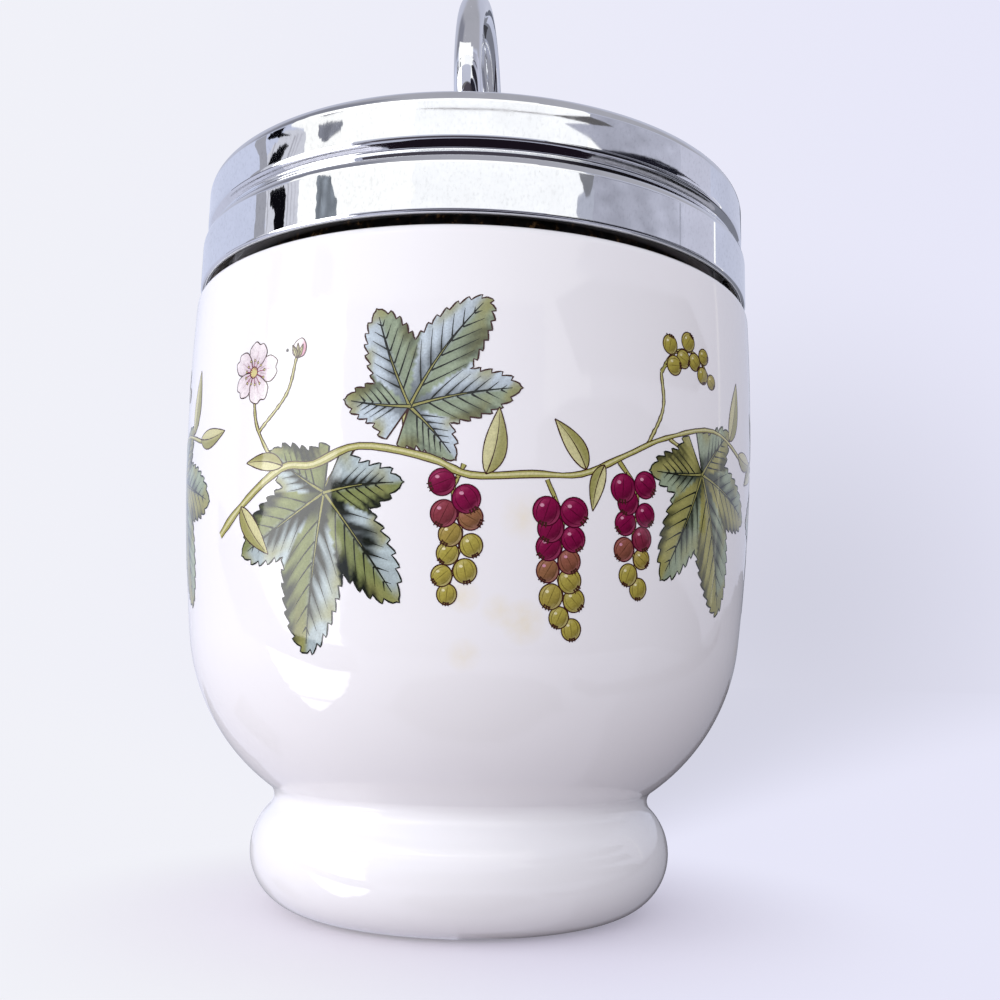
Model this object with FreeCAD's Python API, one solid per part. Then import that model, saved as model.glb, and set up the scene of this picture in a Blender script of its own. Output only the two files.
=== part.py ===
"""Porcelain egg coddler with a screw-on metal lid and a fixed lifting ring.

The cup is one thrown shape: a rolled foot, a waist, a deep bowl and a narrower neck above a ledge.
The lid is a pressed sheet cap. A separate band inside its skirt carries the screw thread, held between
the rolled groove above it and the hemmed edge below it. The wire ring stands in a stud that is riveted
through the middle of the cap over a round washer.

Millimetres, +Z up. The origin is the centre of the foot's underside. The ring stands in the Y-Z plane.
Every piece is turned from a half outline, drawn as (distance from the axis, height).
"""
import FreeCAD, Part
import math
import os

# ---- Cup, from the foot up ----
FOOT_ROLL_RADIUS = 6.6          # round section of the foot
FOOT_ROLL_CENTRE_R = 17.9       # distance of that section from the axis
FOOT_RECESS_R = 16.2            # hollow under the foot
FOOT_RECESS_DEPTH = 7.0
RECESS_CORNER = 2.5
WAIST_FILLET = 1.5              # hollow between foot and bowl
BOWL_LOW_RADIUS = 24.2          # round turn at the bottom of the bowl
BOWL_SIDE_RADIUS = 244.0        # nearly straight side above it
BOWL_TURN_Z = 30.4              # where the turn meets the side
BOWL_MAX_R = 34.4               # widest point of the side
BOWL_MAX_Z = 59.7
CUP_WALL = 3.4
LEDGE_Z = 70.4                  # flat ledge round the neck
LEDGE_EDGE = 1.1                # its rounded outer edge
NECK_R = 30.3
NECK_HEIGHT = 14.1              # from the ledge to the rim
NECK_WALL = 3.0                 # its rim is a full half-round
THROAT_RADIUS = 5.0             # each arc of the S-curve from bowl to neck, inside

# ---- Lid, a pressed sheet cap ----
SHEET = 0.4
SEAT_GAP = 0.1                  # from the cup's rim to the cap's underside
CAP_HEIGHT = 13.6
THREAD_ROOM = 2.9               # between the neck and the inside of the cap, for the two threads
SKIRT_FLARE = 0.4               # the skirt below the groove is this much larger than the band above it
CAP_CORNER = 1.4
PANEL_MARGIN = 2.1              # from the neck's bore to the sunk middle panel
PANEL_DROP = 1.6
PANEL_SLOPE = 1.2               # width of the sloping step round the panel
GROOVE_DROP = 5.25              # from the cap's top to where the band turns into the groove
GROOVE_UPPER = 1.0              # heights of the groove's two flanks
GROOVE_LOWER = 1.45
GROOVE_DEPTH = 0.85
GROOVE_LIP = 0.6                # bends of the mid-line over, in and below the groove
GROOVE_BEND = 0.5
GROOVE_SHOULDER = 1.35
CURL_RADIUS = 0.22              # hemmed lower edge
CURL_RISE = 0.9                 # straight end of the hem, inside the skirt

# ---- Thread band inside the skirt ----
BAND_SHEET = 0.5
BAND_LIP = 0.9                  # its lower edge turns in and rests over the hem
BAND_CLEARANCE = 0.1            # to the skirt, the shoulder and the hem

# ---- Ring, stud and washer ----
WIRE_DIAMETER = 3.3
RING_RADIUS = 13.0              # to the middle of the wire
RING_LIFT = 2.05                # from the panel to the underside of the wire
BRAZE_GAP = 0.04                # round the wire in the stud
STUD_HEAD_R = 3.2
STUD_HEAD_WALL = 1.0            # metal above and below the wire
STUD_HEAD_ROUND = 1.2
STUD_NECK_R = 2.5
COLLAR_R = 4.6
COLLAR_HEIGHT = 0.8
SHANK_R = 1.9
SHANK_CLEARANCE = 0.06
FACE_GAP = 0.04                 # between collar, panel, washer and rivet head
WASHER_R = 6.5
WASHER_HEIGHT = 1.0
RIVET_HEAD_R = 3.3
RIVET_HEAD_HEIGHT = 1.3
RIVET_HEAD_ROUND = 0.9

# ---- Places that follow from the sizes above ----
BORE_R = NECK_R - NECK_WALL
CAP_BAND_R = NECK_R + THREAD_ROOM + SHEET
CAP_SKIRT_R = CAP_BAND_R + SKIRT_FLARE
PANEL_R = BORE_R - PANEL_MARGIN
RIM_Z = LEDGE_Z + NECK_HEIGHT
CAP_TOP_Z = RIM_Z + SEAT_GAP + SHEET
PANEL_TOP_Z = CAP_TOP_Z - PANEL_DROP
WIRE_LOW_Z = PANEL_TOP_Z + RING_LIFT
RING_CENTRE_Z = WIRE_LOW_Z + WIRE_DIAMETER / 2 + RING_RADIUS


def point(r, z):
    return FreeCAD.Vector(r, 0, z)


def unit(vector):
    return vector * (1.0 / vector.Length)


def line(start, end):
    return Part.LineSegment(start, end).toShape()


def arc(start, end, centre):
    """The shorter arc from start to end about centre."""
    middle = centre + unit((start - centre) + (end - centre)) * (start - centre).Length
    return Part.Arc(start, middle, end).toShape()


def bent_path(corners):
    """Edges through (r, z, bend radius) corners, each bend a tangent arc. The two ends have no bend."""
    places = [point(r, z) for r, z, _ in corners]
    radii = [radius for _, _, radius in corners]
    edges = []
    last = places[0]
    for before, corner, after, radius in zip(places, places[1:], places[2:], radii[1:]):
        back = unit(before - corner)
        onward = unit(after - corner)
        half_angle = math.acos(back.dot(onward)) / 2
        reach = radius / math.tan(half_angle)
        start = corner + back * reach
        end = corner + onward * reach
        centre = corner + unit(back + onward) * (radius / math.sin(half_angle))
        if (start - last).Length > 1e-6:
            edges.append(line(last, start))
        if radius > 0:
            edges.append(arc(start, end, centre))
        last = end
    edges.append(line(last, places[-1]))
    return edges


def turned(edges):
    """The solid that a half outline sweeps round the axis. Edges run in order, and the gap is closed."""
    first = edges[0].firstVertex(True).Point
    last = edges[-1].lastVertex(True).Point
    if (first - last).Length > 1e-6:
        edges = edges + [line(last, first)]
    face = Part.Face(Part.Wire(edges))
    return face.revolve(FreeCAD.Vector(0, 0, 0), FreeCAD.Vector(0, 0, 1), 360)


def turned_sheet(corners, thickness):
    """The same for bent sheet metal with square ends, given the corners of its mid-line."""
    midline = Part.Wire(bent_path(corners))
    sides = [midline.makeOffset2D(side * thickness / 2, openResult=True) for side in (1, -1)]
    ends = [line(*(side.OrderedVertexes[at].Point for side in sides)) for at in (0, -1)]
    edges = sides[0].Edges + sides[1].Edges + ends
    face = Part.Face(Part.Wire(Part.__sortEdges__(edges)))
    solid = face.revolve(FreeCAD.Vector(0, 0, 0), FreeCAD.Vector(0, 0, 1), 360)
    return solid.removeSplitter()


# ---- The bowl's two arcs, shared by its outside and its inside ----
SIDE_CENTRE = point(BOWL_MAX_R - BOWL_SIDE_RADIUS, BOWL_MAX_Z)
TURN_ANGLE = math.asin((BOWL_TURN_Z - BOWL_MAX_Z) / BOWL_SIDE_RADIUS)
OUTWARD = point(math.cos(TURN_ANGLE), math.sin(TURN_ANGLE))
LOW_CENTRE = SIDE_CENTRE + OUTWARD * (BOWL_SIDE_RADIUS - BOWL_LOW_RADIUS)
FOOT_CENTRE = point(FOOT_ROLL_CENTRE_R, FOOT_ROLL_RADIUS)


def side_point(z, inset=0.0):
    """A point of the bowl's side at height z, inset into the wall."""
    radius = BOWL_SIDE_RADIUS - inset
    return point(SIDE_CENTRE.x + math.sqrt(radius ** 2 - (z - BOWL_MAX_Z) ** 2), z)


def waist_centre():
    """Centre of the hollow that touches both the foot's roll and the bowl from outside."""
    to_foot = FOOT_ROLL_RADIUS + WAIST_FILLET
    to_bowl = BOWL_LOW_RADIUS + WAIST_FILLET
    gap = LOW_CENTRE - FOOT_CENTRE
    along = (gap.Length ** 2 + to_foot ** 2 - to_bowl ** 2) / (2 * gap.Length)
    across = math.sqrt(to_foot ** 2 - along ** 2)
    way = unit(gap)
    return FOOT_CENTRE + way * along + point(way.z, -way.x) * across


def foot_and_bowl():
    """Outside edges, from the foot's flat underside up to just below the ledge."""
    waist = waist_centre()
    foot_low = FOOT_CENTRE - point(0, FOOT_ROLL_RADIUS)
    foot_widest = FOOT_CENTRE + point(FOOT_ROLL_RADIUS, 0)
    foot_high = FOOT_CENTRE + unit(waist - FOOT_CENTRE) * FOOT_ROLL_RADIUS
    bowl_low = LOW_CENTRE + unit(waist - LOW_CENTRE) * BOWL_LOW_RADIUS
    bowl_turn = LOW_CENTRE + OUTWARD * BOWL_LOW_RADIUS
    side_top = side_point(LEDGE_Z - 2 * LEDGE_EDGE)
    return [
        Part.Arc(foot_low, foot_widest, foot_high).toShape(),
        arc(foot_high, bowl_low, waist),
        arc(bowl_low, bowl_turn, LOW_CENTRE),
        arc(bowl_turn, side_top, SIDE_CENTRE),
    ]


def neck():
    """Edges over the ledge, up the neck, over the rim and down its bore."""
    side_top = side_point(LEDGE_Z - 2 * LEDGE_EDGE)
    ledge_corner = side_point(LEDGE_Z)
    half = NECK_WALL / 2
    rim_start = point(NECK_R, RIM_Z - half)
    rim_end = point(BORE_R, RIM_Z - half)
    ledge = bent_path([
        (side_top.x, side_top.z, 0),
        (ledge_corner.x, LEDGE_Z, LEDGE_EDGE),
        (NECK_R, LEDGE_Z, 0),
        (NECK_R, rim_start.z, 0),
    ])
    rim = Part.Arc(rim_start, point(NECK_R - half, RIM_Z), rim_end).toShape()
    return ledge + [rim, line(rim_end, point(BORE_R, LEDGE_Z))]


def cavity():
    """Inside edges, from the neck's bore through an S-curve and down the bowl to the middle of the floor."""
    belly = side_point(BOWL_MAX_Z, CUP_WALL)
    swing = math.acos(1 - (belly.x - BORE_R) / (2 * THROAT_RADIUS))
    throat_top = point(BORE_R, LEDGE_Z)
    throat_low = point(belly.x, LEDGE_Z - 2 * THROAT_RADIUS * math.sin(swing))
    throat_middle = (throat_top + throat_low) * 0.5
    turn = LOW_CENTRE + OUTWARD * (BOWL_LOW_RADIUS - CUP_WALL)
    floor_edge = LOW_CENTRE - point(0, BOWL_LOW_RADIUS - CUP_WALL)
    return [
        arc(throat_top, throat_middle, throat_top + point(THROAT_RADIUS, 0)),
        arc(throat_middle, throat_low, throat_low - point(THROAT_RADIUS, 0)),
        line(throat_low, belly),
        arc(belly, turn, SIDE_CENTRE),
        arc(turn, floor_edge, LOW_CENTRE),
        line(floor_edge, point(0, floor_edge.z)),
    ]


def recess():
    """Edges from the axis out over the hollow under the foot and down to its flat rim."""
    floor_z = LOW_CENTRE.z - BOWL_LOW_RADIUS + CUP_WALL
    return bent_path([
        (0, floor_z, 0),
        (0, FOOT_RECESS_DEPTH, 0),
        (FOOT_RECESS_R, FOOT_RECESS_DEPTH, RECESS_CORNER),
        (FOOT_RECESS_R, 0, 0),
        (FOOT_ROLL_CENTRE_R, 0, 0),
    ])


def build_cup():
    return turned(foot_and_bowl() + neck() + cavity() + recess())


# ---- Lid ----
SKIRT_MID_R = CAP_SKIRT_R - SHEET / 2
CAP_LOW_Z = CAP_TOP_Z - CAP_HEIGHT
CURL_MID_Z = CAP_LOW_Z + SHEET / 2
CURL_END_Z = CURL_MID_Z + CURL_RADIUS + CURL_RISE
GROOVE_TOP_Z = CAP_TOP_Z - SHEET / 2 - GROOVE_DROP
GROOVE_Z = GROOVE_TOP_Z - GROOVE_UPPER
SHOULDER_Z = GROOVE_Z - GROOVE_LOWER
PANEL_UNDER_Z = PANEL_TOP_Z - SHEET


def build_lid_shell():
    """The cap's mid-line runs from its rivet hole over the sunk panel, round the groove and into the hem."""
    half = SHEET / 2
    band_r = CAP_BAND_R - half
    panel_z = PANEL_TOP_Z - half
    top_z = CAP_TOP_Z - half
    return turned_sheet([
        (SHANK_R + SHANK_CLEARANCE, panel_z, 0),
        (PANEL_R, panel_z, 0),
        (PANEL_R + PANEL_SLOPE, top_z, 0),
        (band_r, top_z, CAP_CORNER),
        (band_r, GROOVE_TOP_Z, GROOVE_LIP),
        (band_r - GROOVE_DEPTH, GROOVE_Z, GROOVE_BEND),
        (SKIRT_MID_R, SHOULDER_Z, GROOVE_SHOULDER),
        (SKIRT_MID_R, CURL_MID_Z, CURL_RADIUS),
        (SKIRT_MID_R - 2 * CURL_RADIUS, CURL_MID_Z, CURL_RADIUS),
        (SKIRT_MID_R - 2 * CURL_RADIUS, CURL_END_Z, 0),
    ], SHEET)


def build_thread_band():
    """A sleeve trapped between the groove's shoulder and the end of the hem."""
    half = BAND_SHEET / 2
    mid_r = CAP_SKIRT_R - SHEET - BAND_CLEARANCE - half
    low = CURL_END_Z + BAND_CLEARANCE + half
    high = SHOULDER_Z - GROOVE_SHOULDER / 2 - BAND_CLEARANCE
    return turned_sheet([
        (mid_r - BAND_LIP, low, 0),
        (mid_r, low, 0),
        (mid_r, high, 0),
    ], BAND_SHEET)


# ---- Ring, stud and washer ----
def build_lifting_ring(wire_radius=WIRE_DIAMETER / 2):
    """Round wire bent to a full circle, its joint hidden in the stud."""
    centre = FreeCAD.Vector(0, 0, RING_CENTRE_Z)
    return Part.makeTorus(RING_RADIUS, wire_radius, centre, FreeCAD.Vector(1, 0, 0))


def build_ring_stud():
    """Head with a cross-hole for the wire, a collar on the panel and a shank that ends in a rivet head."""
    head_low = WIRE_LOW_Z - STUD_HEAD_WALL
    head_high = WIRE_LOW_Z + WIRE_DIAMETER + STUD_HEAD_WALL
    collar_low = PANEL_TOP_Z + FACE_GAP
    rivet_high = PANEL_UNDER_Z - WASHER_HEIGHT - 2 * FACE_GAP
    rivet_low = rivet_high - RIVET_HEAD_HEIGHT
    stud = turned(bent_path([
        (0, head_high, 0),
        (STUD_HEAD_R, head_high, STUD_HEAD_ROUND),
        (STUD_HEAD_R, head_low, 0),
        (STUD_NECK_R, head_low, 0),
        (STUD_NECK_R, collar_low + COLLAR_HEIGHT, 0),
        (COLLAR_R, collar_low + COLLAR_HEIGHT, 0),
        (COLLAR_R, collar_low, 0),
        (SHANK_R, collar_low, 0),
        (SHANK_R, rivet_high, 0),
        (RIVET_HEAD_R, rivet_high, 0),
        (RIVET_HEAD_R, rivet_low, RIVET_HEAD_ROUND),
        (0, rivet_low, 0),
    ]))
    return stud.cut(build_lifting_ring(WIRE_DIAMETER / 2 + BRAZE_GAP))


def build_backing_washer():
    """Spreads the rivet's grip under the cap."""
    hole = SHANK_R + SHANK_CLEARANCE
    high = PANEL_UNDER_Z - FACE_GAP
    low = high - WASHER_HEIGHT
    return turned(bent_path([
        (hole, high, 0),
        (WASHER_R, high, 0),
        (WASHER_R, low, 0),
        (hole, low, 0),
    ]))


PIECES = {
    "cup": build_cup,
    "lid_shell": build_lid_shell,
    "thread_band": build_thread_band,
    "lifting_ring": build_lifting_ring,
    "ring_stud": build_ring_stud,
    "backing_washer": build_backing_washer,
}


def main():
    os.makedirs("parts", exist_ok=True)
    for name, build in PIECES.items():
        shape = build()
        shape.exportStep(f"parts/{name}.step")
        box = shape.BoundBox
        print(f"{name}: valid {shape.isValid()}, solids {len(shape.Solids)}, volume {shape.Volume:.1f}, "
              f"r {box.XMax:.2f}, z {box.ZMin:.2f} to {box.ZMax:.2f}")


main()
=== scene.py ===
"""Looks for the porcelain egg coddler: glazed cup with a printed band, plated screw cap, ring and stud.

Turned pieces are lathe meshes from a half outline, drawn as (distance from the axis, height) in
millimetres, with their true normals. The printed band is one thin coloured mesh that follows the bowl.
The plating and the glaze mirror a painted sky that nothing else sees.
"""

import math
import random

import bpy
import numpy as np
from mathutils import Matrix, Vector
from mathutils.geometry import delaunay_2d_cdt


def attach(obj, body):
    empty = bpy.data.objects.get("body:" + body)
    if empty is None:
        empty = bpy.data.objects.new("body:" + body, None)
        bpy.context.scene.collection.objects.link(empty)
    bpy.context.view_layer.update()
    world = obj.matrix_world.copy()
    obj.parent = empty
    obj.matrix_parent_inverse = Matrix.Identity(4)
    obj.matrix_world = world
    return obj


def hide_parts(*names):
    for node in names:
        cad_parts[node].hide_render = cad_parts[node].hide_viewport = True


MM = 0.001
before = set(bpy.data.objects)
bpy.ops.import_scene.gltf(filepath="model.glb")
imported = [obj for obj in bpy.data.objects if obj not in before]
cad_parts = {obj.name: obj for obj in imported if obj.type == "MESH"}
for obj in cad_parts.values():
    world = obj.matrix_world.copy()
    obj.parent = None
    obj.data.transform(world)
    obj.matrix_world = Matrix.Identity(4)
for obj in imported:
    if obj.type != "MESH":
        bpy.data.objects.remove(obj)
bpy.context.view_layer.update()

# ---- Sizes of the cup, in millimetres, as in the part ----
FOOT_ROLL_RADIUS = 6.6
FOOT_ROLL_CENTRE = (17.9, FOOT_ROLL_RADIUS)
FOOT_RECESS_R = 16.2
FOOT_RECESS_DEPTH = 7.0
RECESS_CORNER = 2.5
FOOT_EDGE = 0.35
WAIST_FILLET = 1.5
BOWL_LOW_RADIUS = 24.2
BOWL_SIDE_RADIUS = 244.0
BOWL_TURN_Z = 30.4
BOWL_MAX_R = 34.4
BOWL_MAX_Z = 59.7
CUP_WALL = 3.4
LEDGE_Z = 70.4
LEDGE_EDGE = 1.1
LEDGE_HOLLOW = 0.6
NECK_R = 30.3
NECK_WALL = 3.0
BORE_R = NECK_R - NECK_WALL
RIM_Z = 84.5
THROAT_RADIUS = 5.0

# ---- Sizes of the lid ----
SHEET = 0.4
CAP_TOP_Z = 85.0
CAP_LOW_Z = 71.4
CAP_BAND_R = 33.6
CAP_SKIRT_R = 34.0
CAP_CORNER = 1.4
PANEL_TOP_Z = 83.4
PANEL_R = 25.2
PANEL_STEP_R = 26.4
STEP_BEND = 0.8
GROOVE_TOP_Z = 79.55            # where the band above turns in
GROOVE_Z = 78.55                # deepest
GROOVE_LOW_Z = 77.1             # where the skirt's shoulder turns in
GROOVE_DEPTH = 0.85
GROOVE_LIP = 0.6
GROOVE_BEND = 0.5
GROOVE_SHOULDER = 1.35
CURL_RADIUS = 0.22
CURL_RISE = 0.9
BAND_SHEET = 0.5
BAND_GAP = 0.1
BAND_LIP = 0.9
BAND_BEND = 0.4

# ---- Ring, stud and washer ----
WIRE_RADIUS = 1.65
RING_RADIUS = 13.0
RING_CENTRE_Z = 100.1
WIRE_LOW_Z = RING_CENTRE_Z - RING_RADIUS - WIRE_RADIUS
WIRE_WAVE = 0.02                # how far hand-bent wire strays from its circle
WIRE_SPARE = 0.005              # keeps the wire inside the solid's
STUD_HEAD_R = 3.2
STUD_HEAD_WALL = 1.0
STUD_NECK_R = 2.5
COLLAR_R = 4.6
COLLAR_HEIGHT = 0.8
SHANK_R = 1.9
HOLE_R = SHANK_R + 0.06
FACE_GAP = 0.04
WASHER_R = 6.5
WASHER_HEIGHT = 1.0
RIVET_HEAD_R = 3.3
RIVET_HEAD_HEIGHT = 1.3

# ---- Screw thread: two ridges on the neck and two short ones in the lid's band, midway between them ----
LEAD = 5.0
THREAD_STARTS = (20, 200)       # degrees
NECK_RIDGE = dict(radius=NECK_R - 0.15, height=1.5, half_width=0.65, low=74.7, turns=1.2)
BAND_RIDGE = dict(radius=33.05, height=-1.7, half_width=0.5, low=73.45, turns=0.42)

# ---- Camera ----
CAMERA_AZIMUTH = 7.3            # degrees round the cup from -Y
CAMERA_DISTANCE = 136.1
CAMERA_HEIGHT = 26.7
CAMERA_YAW = 1.61
CAMERA_PITCH = 9.01
CAMERA_ROLL = 1.30
CAMERA_LENS = 39.6
SENSOR_WIDTH = 36
CLIP_START, CLIP_END = 0.005, 20        # metres

SEGMENTS = 256                  # round a turned piece
FULL_TURN = 2 * math.pi
FRONT = math.radians(CAMERA_AZIMUTH - 90)       # the side of the cup that the camera sees
TOUCHING, ON_AXIS = 1e-5, 1e-6          # millimetres


# ---- Directions ----
def heading(*degrees):
    """The unit vector at an angle, or at the sum of some angles, from the first axis."""
    angle = sum(math.radians(part) for part in degrees)
    return np.array((math.cos(angle), math.sin(angle)))


def rays(angles):
    """Unit vectors at many angles in radians."""
    return np.stack((np.cos(angles), np.sin(angles)), 1)


def towards(turn, rise):
    """The way from the axis to a turn from the front and a rise, both in degrees."""
    turn, rise = FRONT + np.radians(turn), np.radians(rise)
    return np.stack((np.cos(rise) * np.cos(turn), np.cos(rise) * np.sin(turn), np.sin(rise)), -1)


def angle_of(vector):
    return math.degrees(math.atan2(vector[1], vector[0]))


def unit(vector):
    return vector / np.hypot(*vector)


def left_of(way):
    return np.stack((-way[..., 1], way[..., 0]), -1)


# ---- Outlines and lathe meshes ----
class Outline:
    """A half outline as short runs. Each run keeps its two ends and the true normal at each end.

    The material lies to the left of the way the outline runs.
    """

    def __init__(self, r, z):
        self.end = (r, z)
        self.runs = []

    def line(self, r, z, parts=1):
        start = np.array(self.end)
        step = (np.array((r, z)) - start) / parts
        normal = -left_of(unit(step))
        for part in range(parts):
            self.runs.append((start + step * part, start + step * (part + 1), normal, normal))
        self.end = (r, z)
        return self

    def arc(self, centre, radius, first, last, chord=0.35):
        """Degrees first to last about centre. Anticlockwise bulges out, clockwise hollows in."""
        sweep = math.radians(last - first)
        parts = max(3, math.ceil(abs(sweep) * radius / chord))
        way = rays(math.radians(first) + sweep * np.arange(parts + 1) / parts)
        places, normals = np.array(centre) + radius * way, way * math.copysign(1, sweep)
        if math.dist(places[0], self.end) > TOUCHING:
            self.line(*places[0])
        self.runs += list(zip(places, places[1:], normals, normals[1:]))
        self.end = tuple(places[-1])
        return self

    def bends(self, corners):
        """On through (r, z, bend radius) corners. The last one is only reached."""
        corners = [(*self.end, 0)] + list(corners)
        for before, corner, after in zip(corners, corners[1:], corners[2:]):
            place, radius = np.array(corner[:2]), corner[2]
            if radius == 0:
                self.line(*place)
                continue
            back, onward = (unit(np.array(other[:2]) - place) for other in (before, after))
            half_angle = math.acos(np.clip(back @ onward, -1, 1)) / 2
            centre = place + unit(back + onward) * radius / math.sin(half_angle)
            reach = radius / math.tan(half_angle)
            first, last = (angle_of(place + way * reach - centre) for way in (back, onward))
            sweep = (last - first + 180) % 360 - 180
            self.arc(centre, radius, first, first + sweep, chord=max(0.08, radius * 0.12))
        return self.line(*corners[-1][:2])


def sheet_outline(corners, thickness):
    """Both sides of bent sheet and its square ends, from the (r, z, bend radius) corners of its mid-line."""
    runs, half = Outline(*corners[0][:2]).bends(corners[1:]).runs, thickness / 2
    there = [(a + na * half, b + nb * half, na, nb) for a, b, na, nb in runs]
    back = [(b - nb * half, a - na * half, -nb, -na) for a, b, na, nb in reversed(runs)]
    outline = Outline(*there[0][0])
    for side, onward in ((there, back[0][0]), (back, there[0][0])):
        outline.runs += side
        outline.end = tuple(side[-1][1])
        outline.line(*onward)
    return outline


def linked(name, data):
    """A new object of the scene."""
    made = bpy.data.objects.new(name, data)
    bpy.context.scene.collection.objects.link(made)
    return made


def mesh_object(name, places, faces, corner_normals=None):
    """A smooth mesh from places in millimetres."""
    mesh = bpy.data.meshes.new(name)
    mesh.from_pydata([tuple(p) for p in np.asarray(places) * MM], [], faces)
    mesh.polygons.foreach_set("use_smooth", [True] * len(mesh.polygons))
    if corner_normals is not None:
        mesh.normals_split_custom_set([tuple(n) for n in corner_normals])
    return linked(name, mesh)


def inked(name, places, faces, colours):
    """A mesh of triangles with a linear colour at every corner."""
    piece = mesh_object(name, places, faces.tolist())
    ink = piece.data.color_attributes.new("Ink", "FLOAT_COLOR", "CORNER")
    ink.data.foreach_set("color", colours.astype(np.float32).ravel())
    return piece


def turned(name, outline, segments=SEGMENTS):
    """The piece that an outline sweeps round the axis, with the outline's own normals at every corner."""
    angles = FULL_TURN * np.arange(segments) / segments
    cos, sin = np.cos(angles), np.sin(angles)
    first_of, places, faces, normals = {}, [], [], []

    def row(place):
        """The first point of the row at a place, and the step to its next one, which is 0 on the axis."""
        r, z = key = (round(float(place[0]), 5), round(float(place[1]), 5))
        if key not in first_of:
            first_of[key] = len(places)
            places.extend([(0, 0, z)] if r < ON_AXIS else zip(r * cos, r * sin, np.full(segments, z)))
        return first_of[key], int(r >= ON_AXIS)

    for a, b, na, nb in outline.runs:
        low, high = row(a), row(b)
        for i in range(segments):
            j = (i + 1) % segments
            corners = {}
            for (first, step), normal, k in ((low, na, i), (low, na, j), (high, nb, j), (high, nb, i)):
                corners.setdefault(first + step * k, (normal, k))
            if len(corners) > 2:
                faces.append(list(corners))
                normals += [(n[0] * cos[k], n[0] * sin[k], n[1]) for n, k in corners.values()]
    return mesh_object(name, places, faces, normals)


def tube_faces(rows, sides, joined=False):
    """The faces between neighbouring rows of points round a tube. joined: the last row meets the first."""
    faces = []
    for row in range(rows if joined else rows - 1):
        a, b = row * sides, (row + 1) % rows * sides
        faces += [(a + i, b + i, b + (i + 1) % sides, a + (i + 1) % sides) for i in range(sides)]
    return faces


def helix_ridge(name, radius, height, half_width, low, turns, start):
    """A half-round thread ridge that fades into the wall at both ends. A negative height points inwards."""
    steps, sides, fading = 220, 14, 0.08
    places = []
    for share in (step / steps for step in range(steps + 1)):
        angle = math.radians(start) + FULL_TURN * turns * share
        fade = math.sin(math.pi * min(share / fading, (1 - share) / fading, 1) / 2) ** 0.7
        for across in (math.pi * side / sides for side in range(sides + 1)):
            r = radius + height * fade * math.sin(across)
            z = low + LEAD * turns * share - half_width * math.cos(across) * (0.3 + 0.7 * fade)
            places.append((r * math.cos(angle), r * math.sin(angle), z))
    last = steps * (sides + 1)
    faces = tube_faces(steps + 1, sides + 1)
    faces += [tuple(range(sides, -1, -1)), tuple(range(last, last + sides + 1))]
    if height < 0:
        faces = [face[::-1] for face in faces]
    return mesh_object(name, places, faces)


# ---- The cup's outline ----
def along_side(z):
    """(r, normal) of the bowl's outside at height z, anywhere from the low turn to the ledge."""
    z = np.asarray(z, float)
    side_r = SIDE_CENTRE[0] + np.sqrt(BOWL_SIDE_RADIUS ** 2 - (z - SIDE_CENTRE[1]) ** 2)
    low_r = LOW_CENTRE[0] + np.sqrt(np.maximum(BOWL_LOW_RADIUS ** 2 - (z - LOW_CENTRE[1]) ** 2, 0))
    low = z < BOWL_TURN_Z_TRUE
    r = np.where(low, low_r, side_r)
    centre_r = np.where(low, LOW_CENTRE[0], SIDE_CENTRE[0])
    centre_z = np.where(low, LOW_CENTRE[1], SIDE_CENTRE[1])
    way = np.stack((r - centre_r, z - centre_z), -1)
    return r, way / np.linalg.norm(way, axis=-1, keepdims=True)


SIDE_CENTRE = np.array((BOWL_MAX_R - BOWL_SIDE_RADIUS, BOWL_MAX_Z))
TURN_ANGLE = math.degrees(math.asin((BOWL_TURN_Z - BOWL_MAX_Z) / BOWL_SIDE_RADIUS))
LOW_CENTRE = SIDE_CENTRE + heading(TURN_ANGLE) * (BOWL_SIDE_RADIUS - BOWL_LOW_RADIUS)
BOWL_TURN_Z_TRUE = float((LOW_CENTRE + heading(TURN_ANGLE) * BOWL_LOW_RADIUS)[1])


def waist():
    """Centre of the hollow that touches the foot's roll and the bowl, and its angle from each of theirs."""
    foot = np.array(FOOT_ROLL_CENTRE)
    gap = LOW_CENTRE - foot
    length = np.hypot(*gap)
    to_foot, to_bowl = FOOT_ROLL_RADIUS + WAIST_FILLET, BOWL_LOW_RADIUS + WAIST_FILLET
    along = (length ** 2 + to_foot ** 2 - to_bowl ** 2) / (2 * length)
    way = gap / length
    centre = foot + way * along - left_of(way) * math.sqrt(to_foot ** 2 - along ** 2)
    return centre, angle_of(centre - foot), angle_of(centre - LOW_CENTRE)


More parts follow.
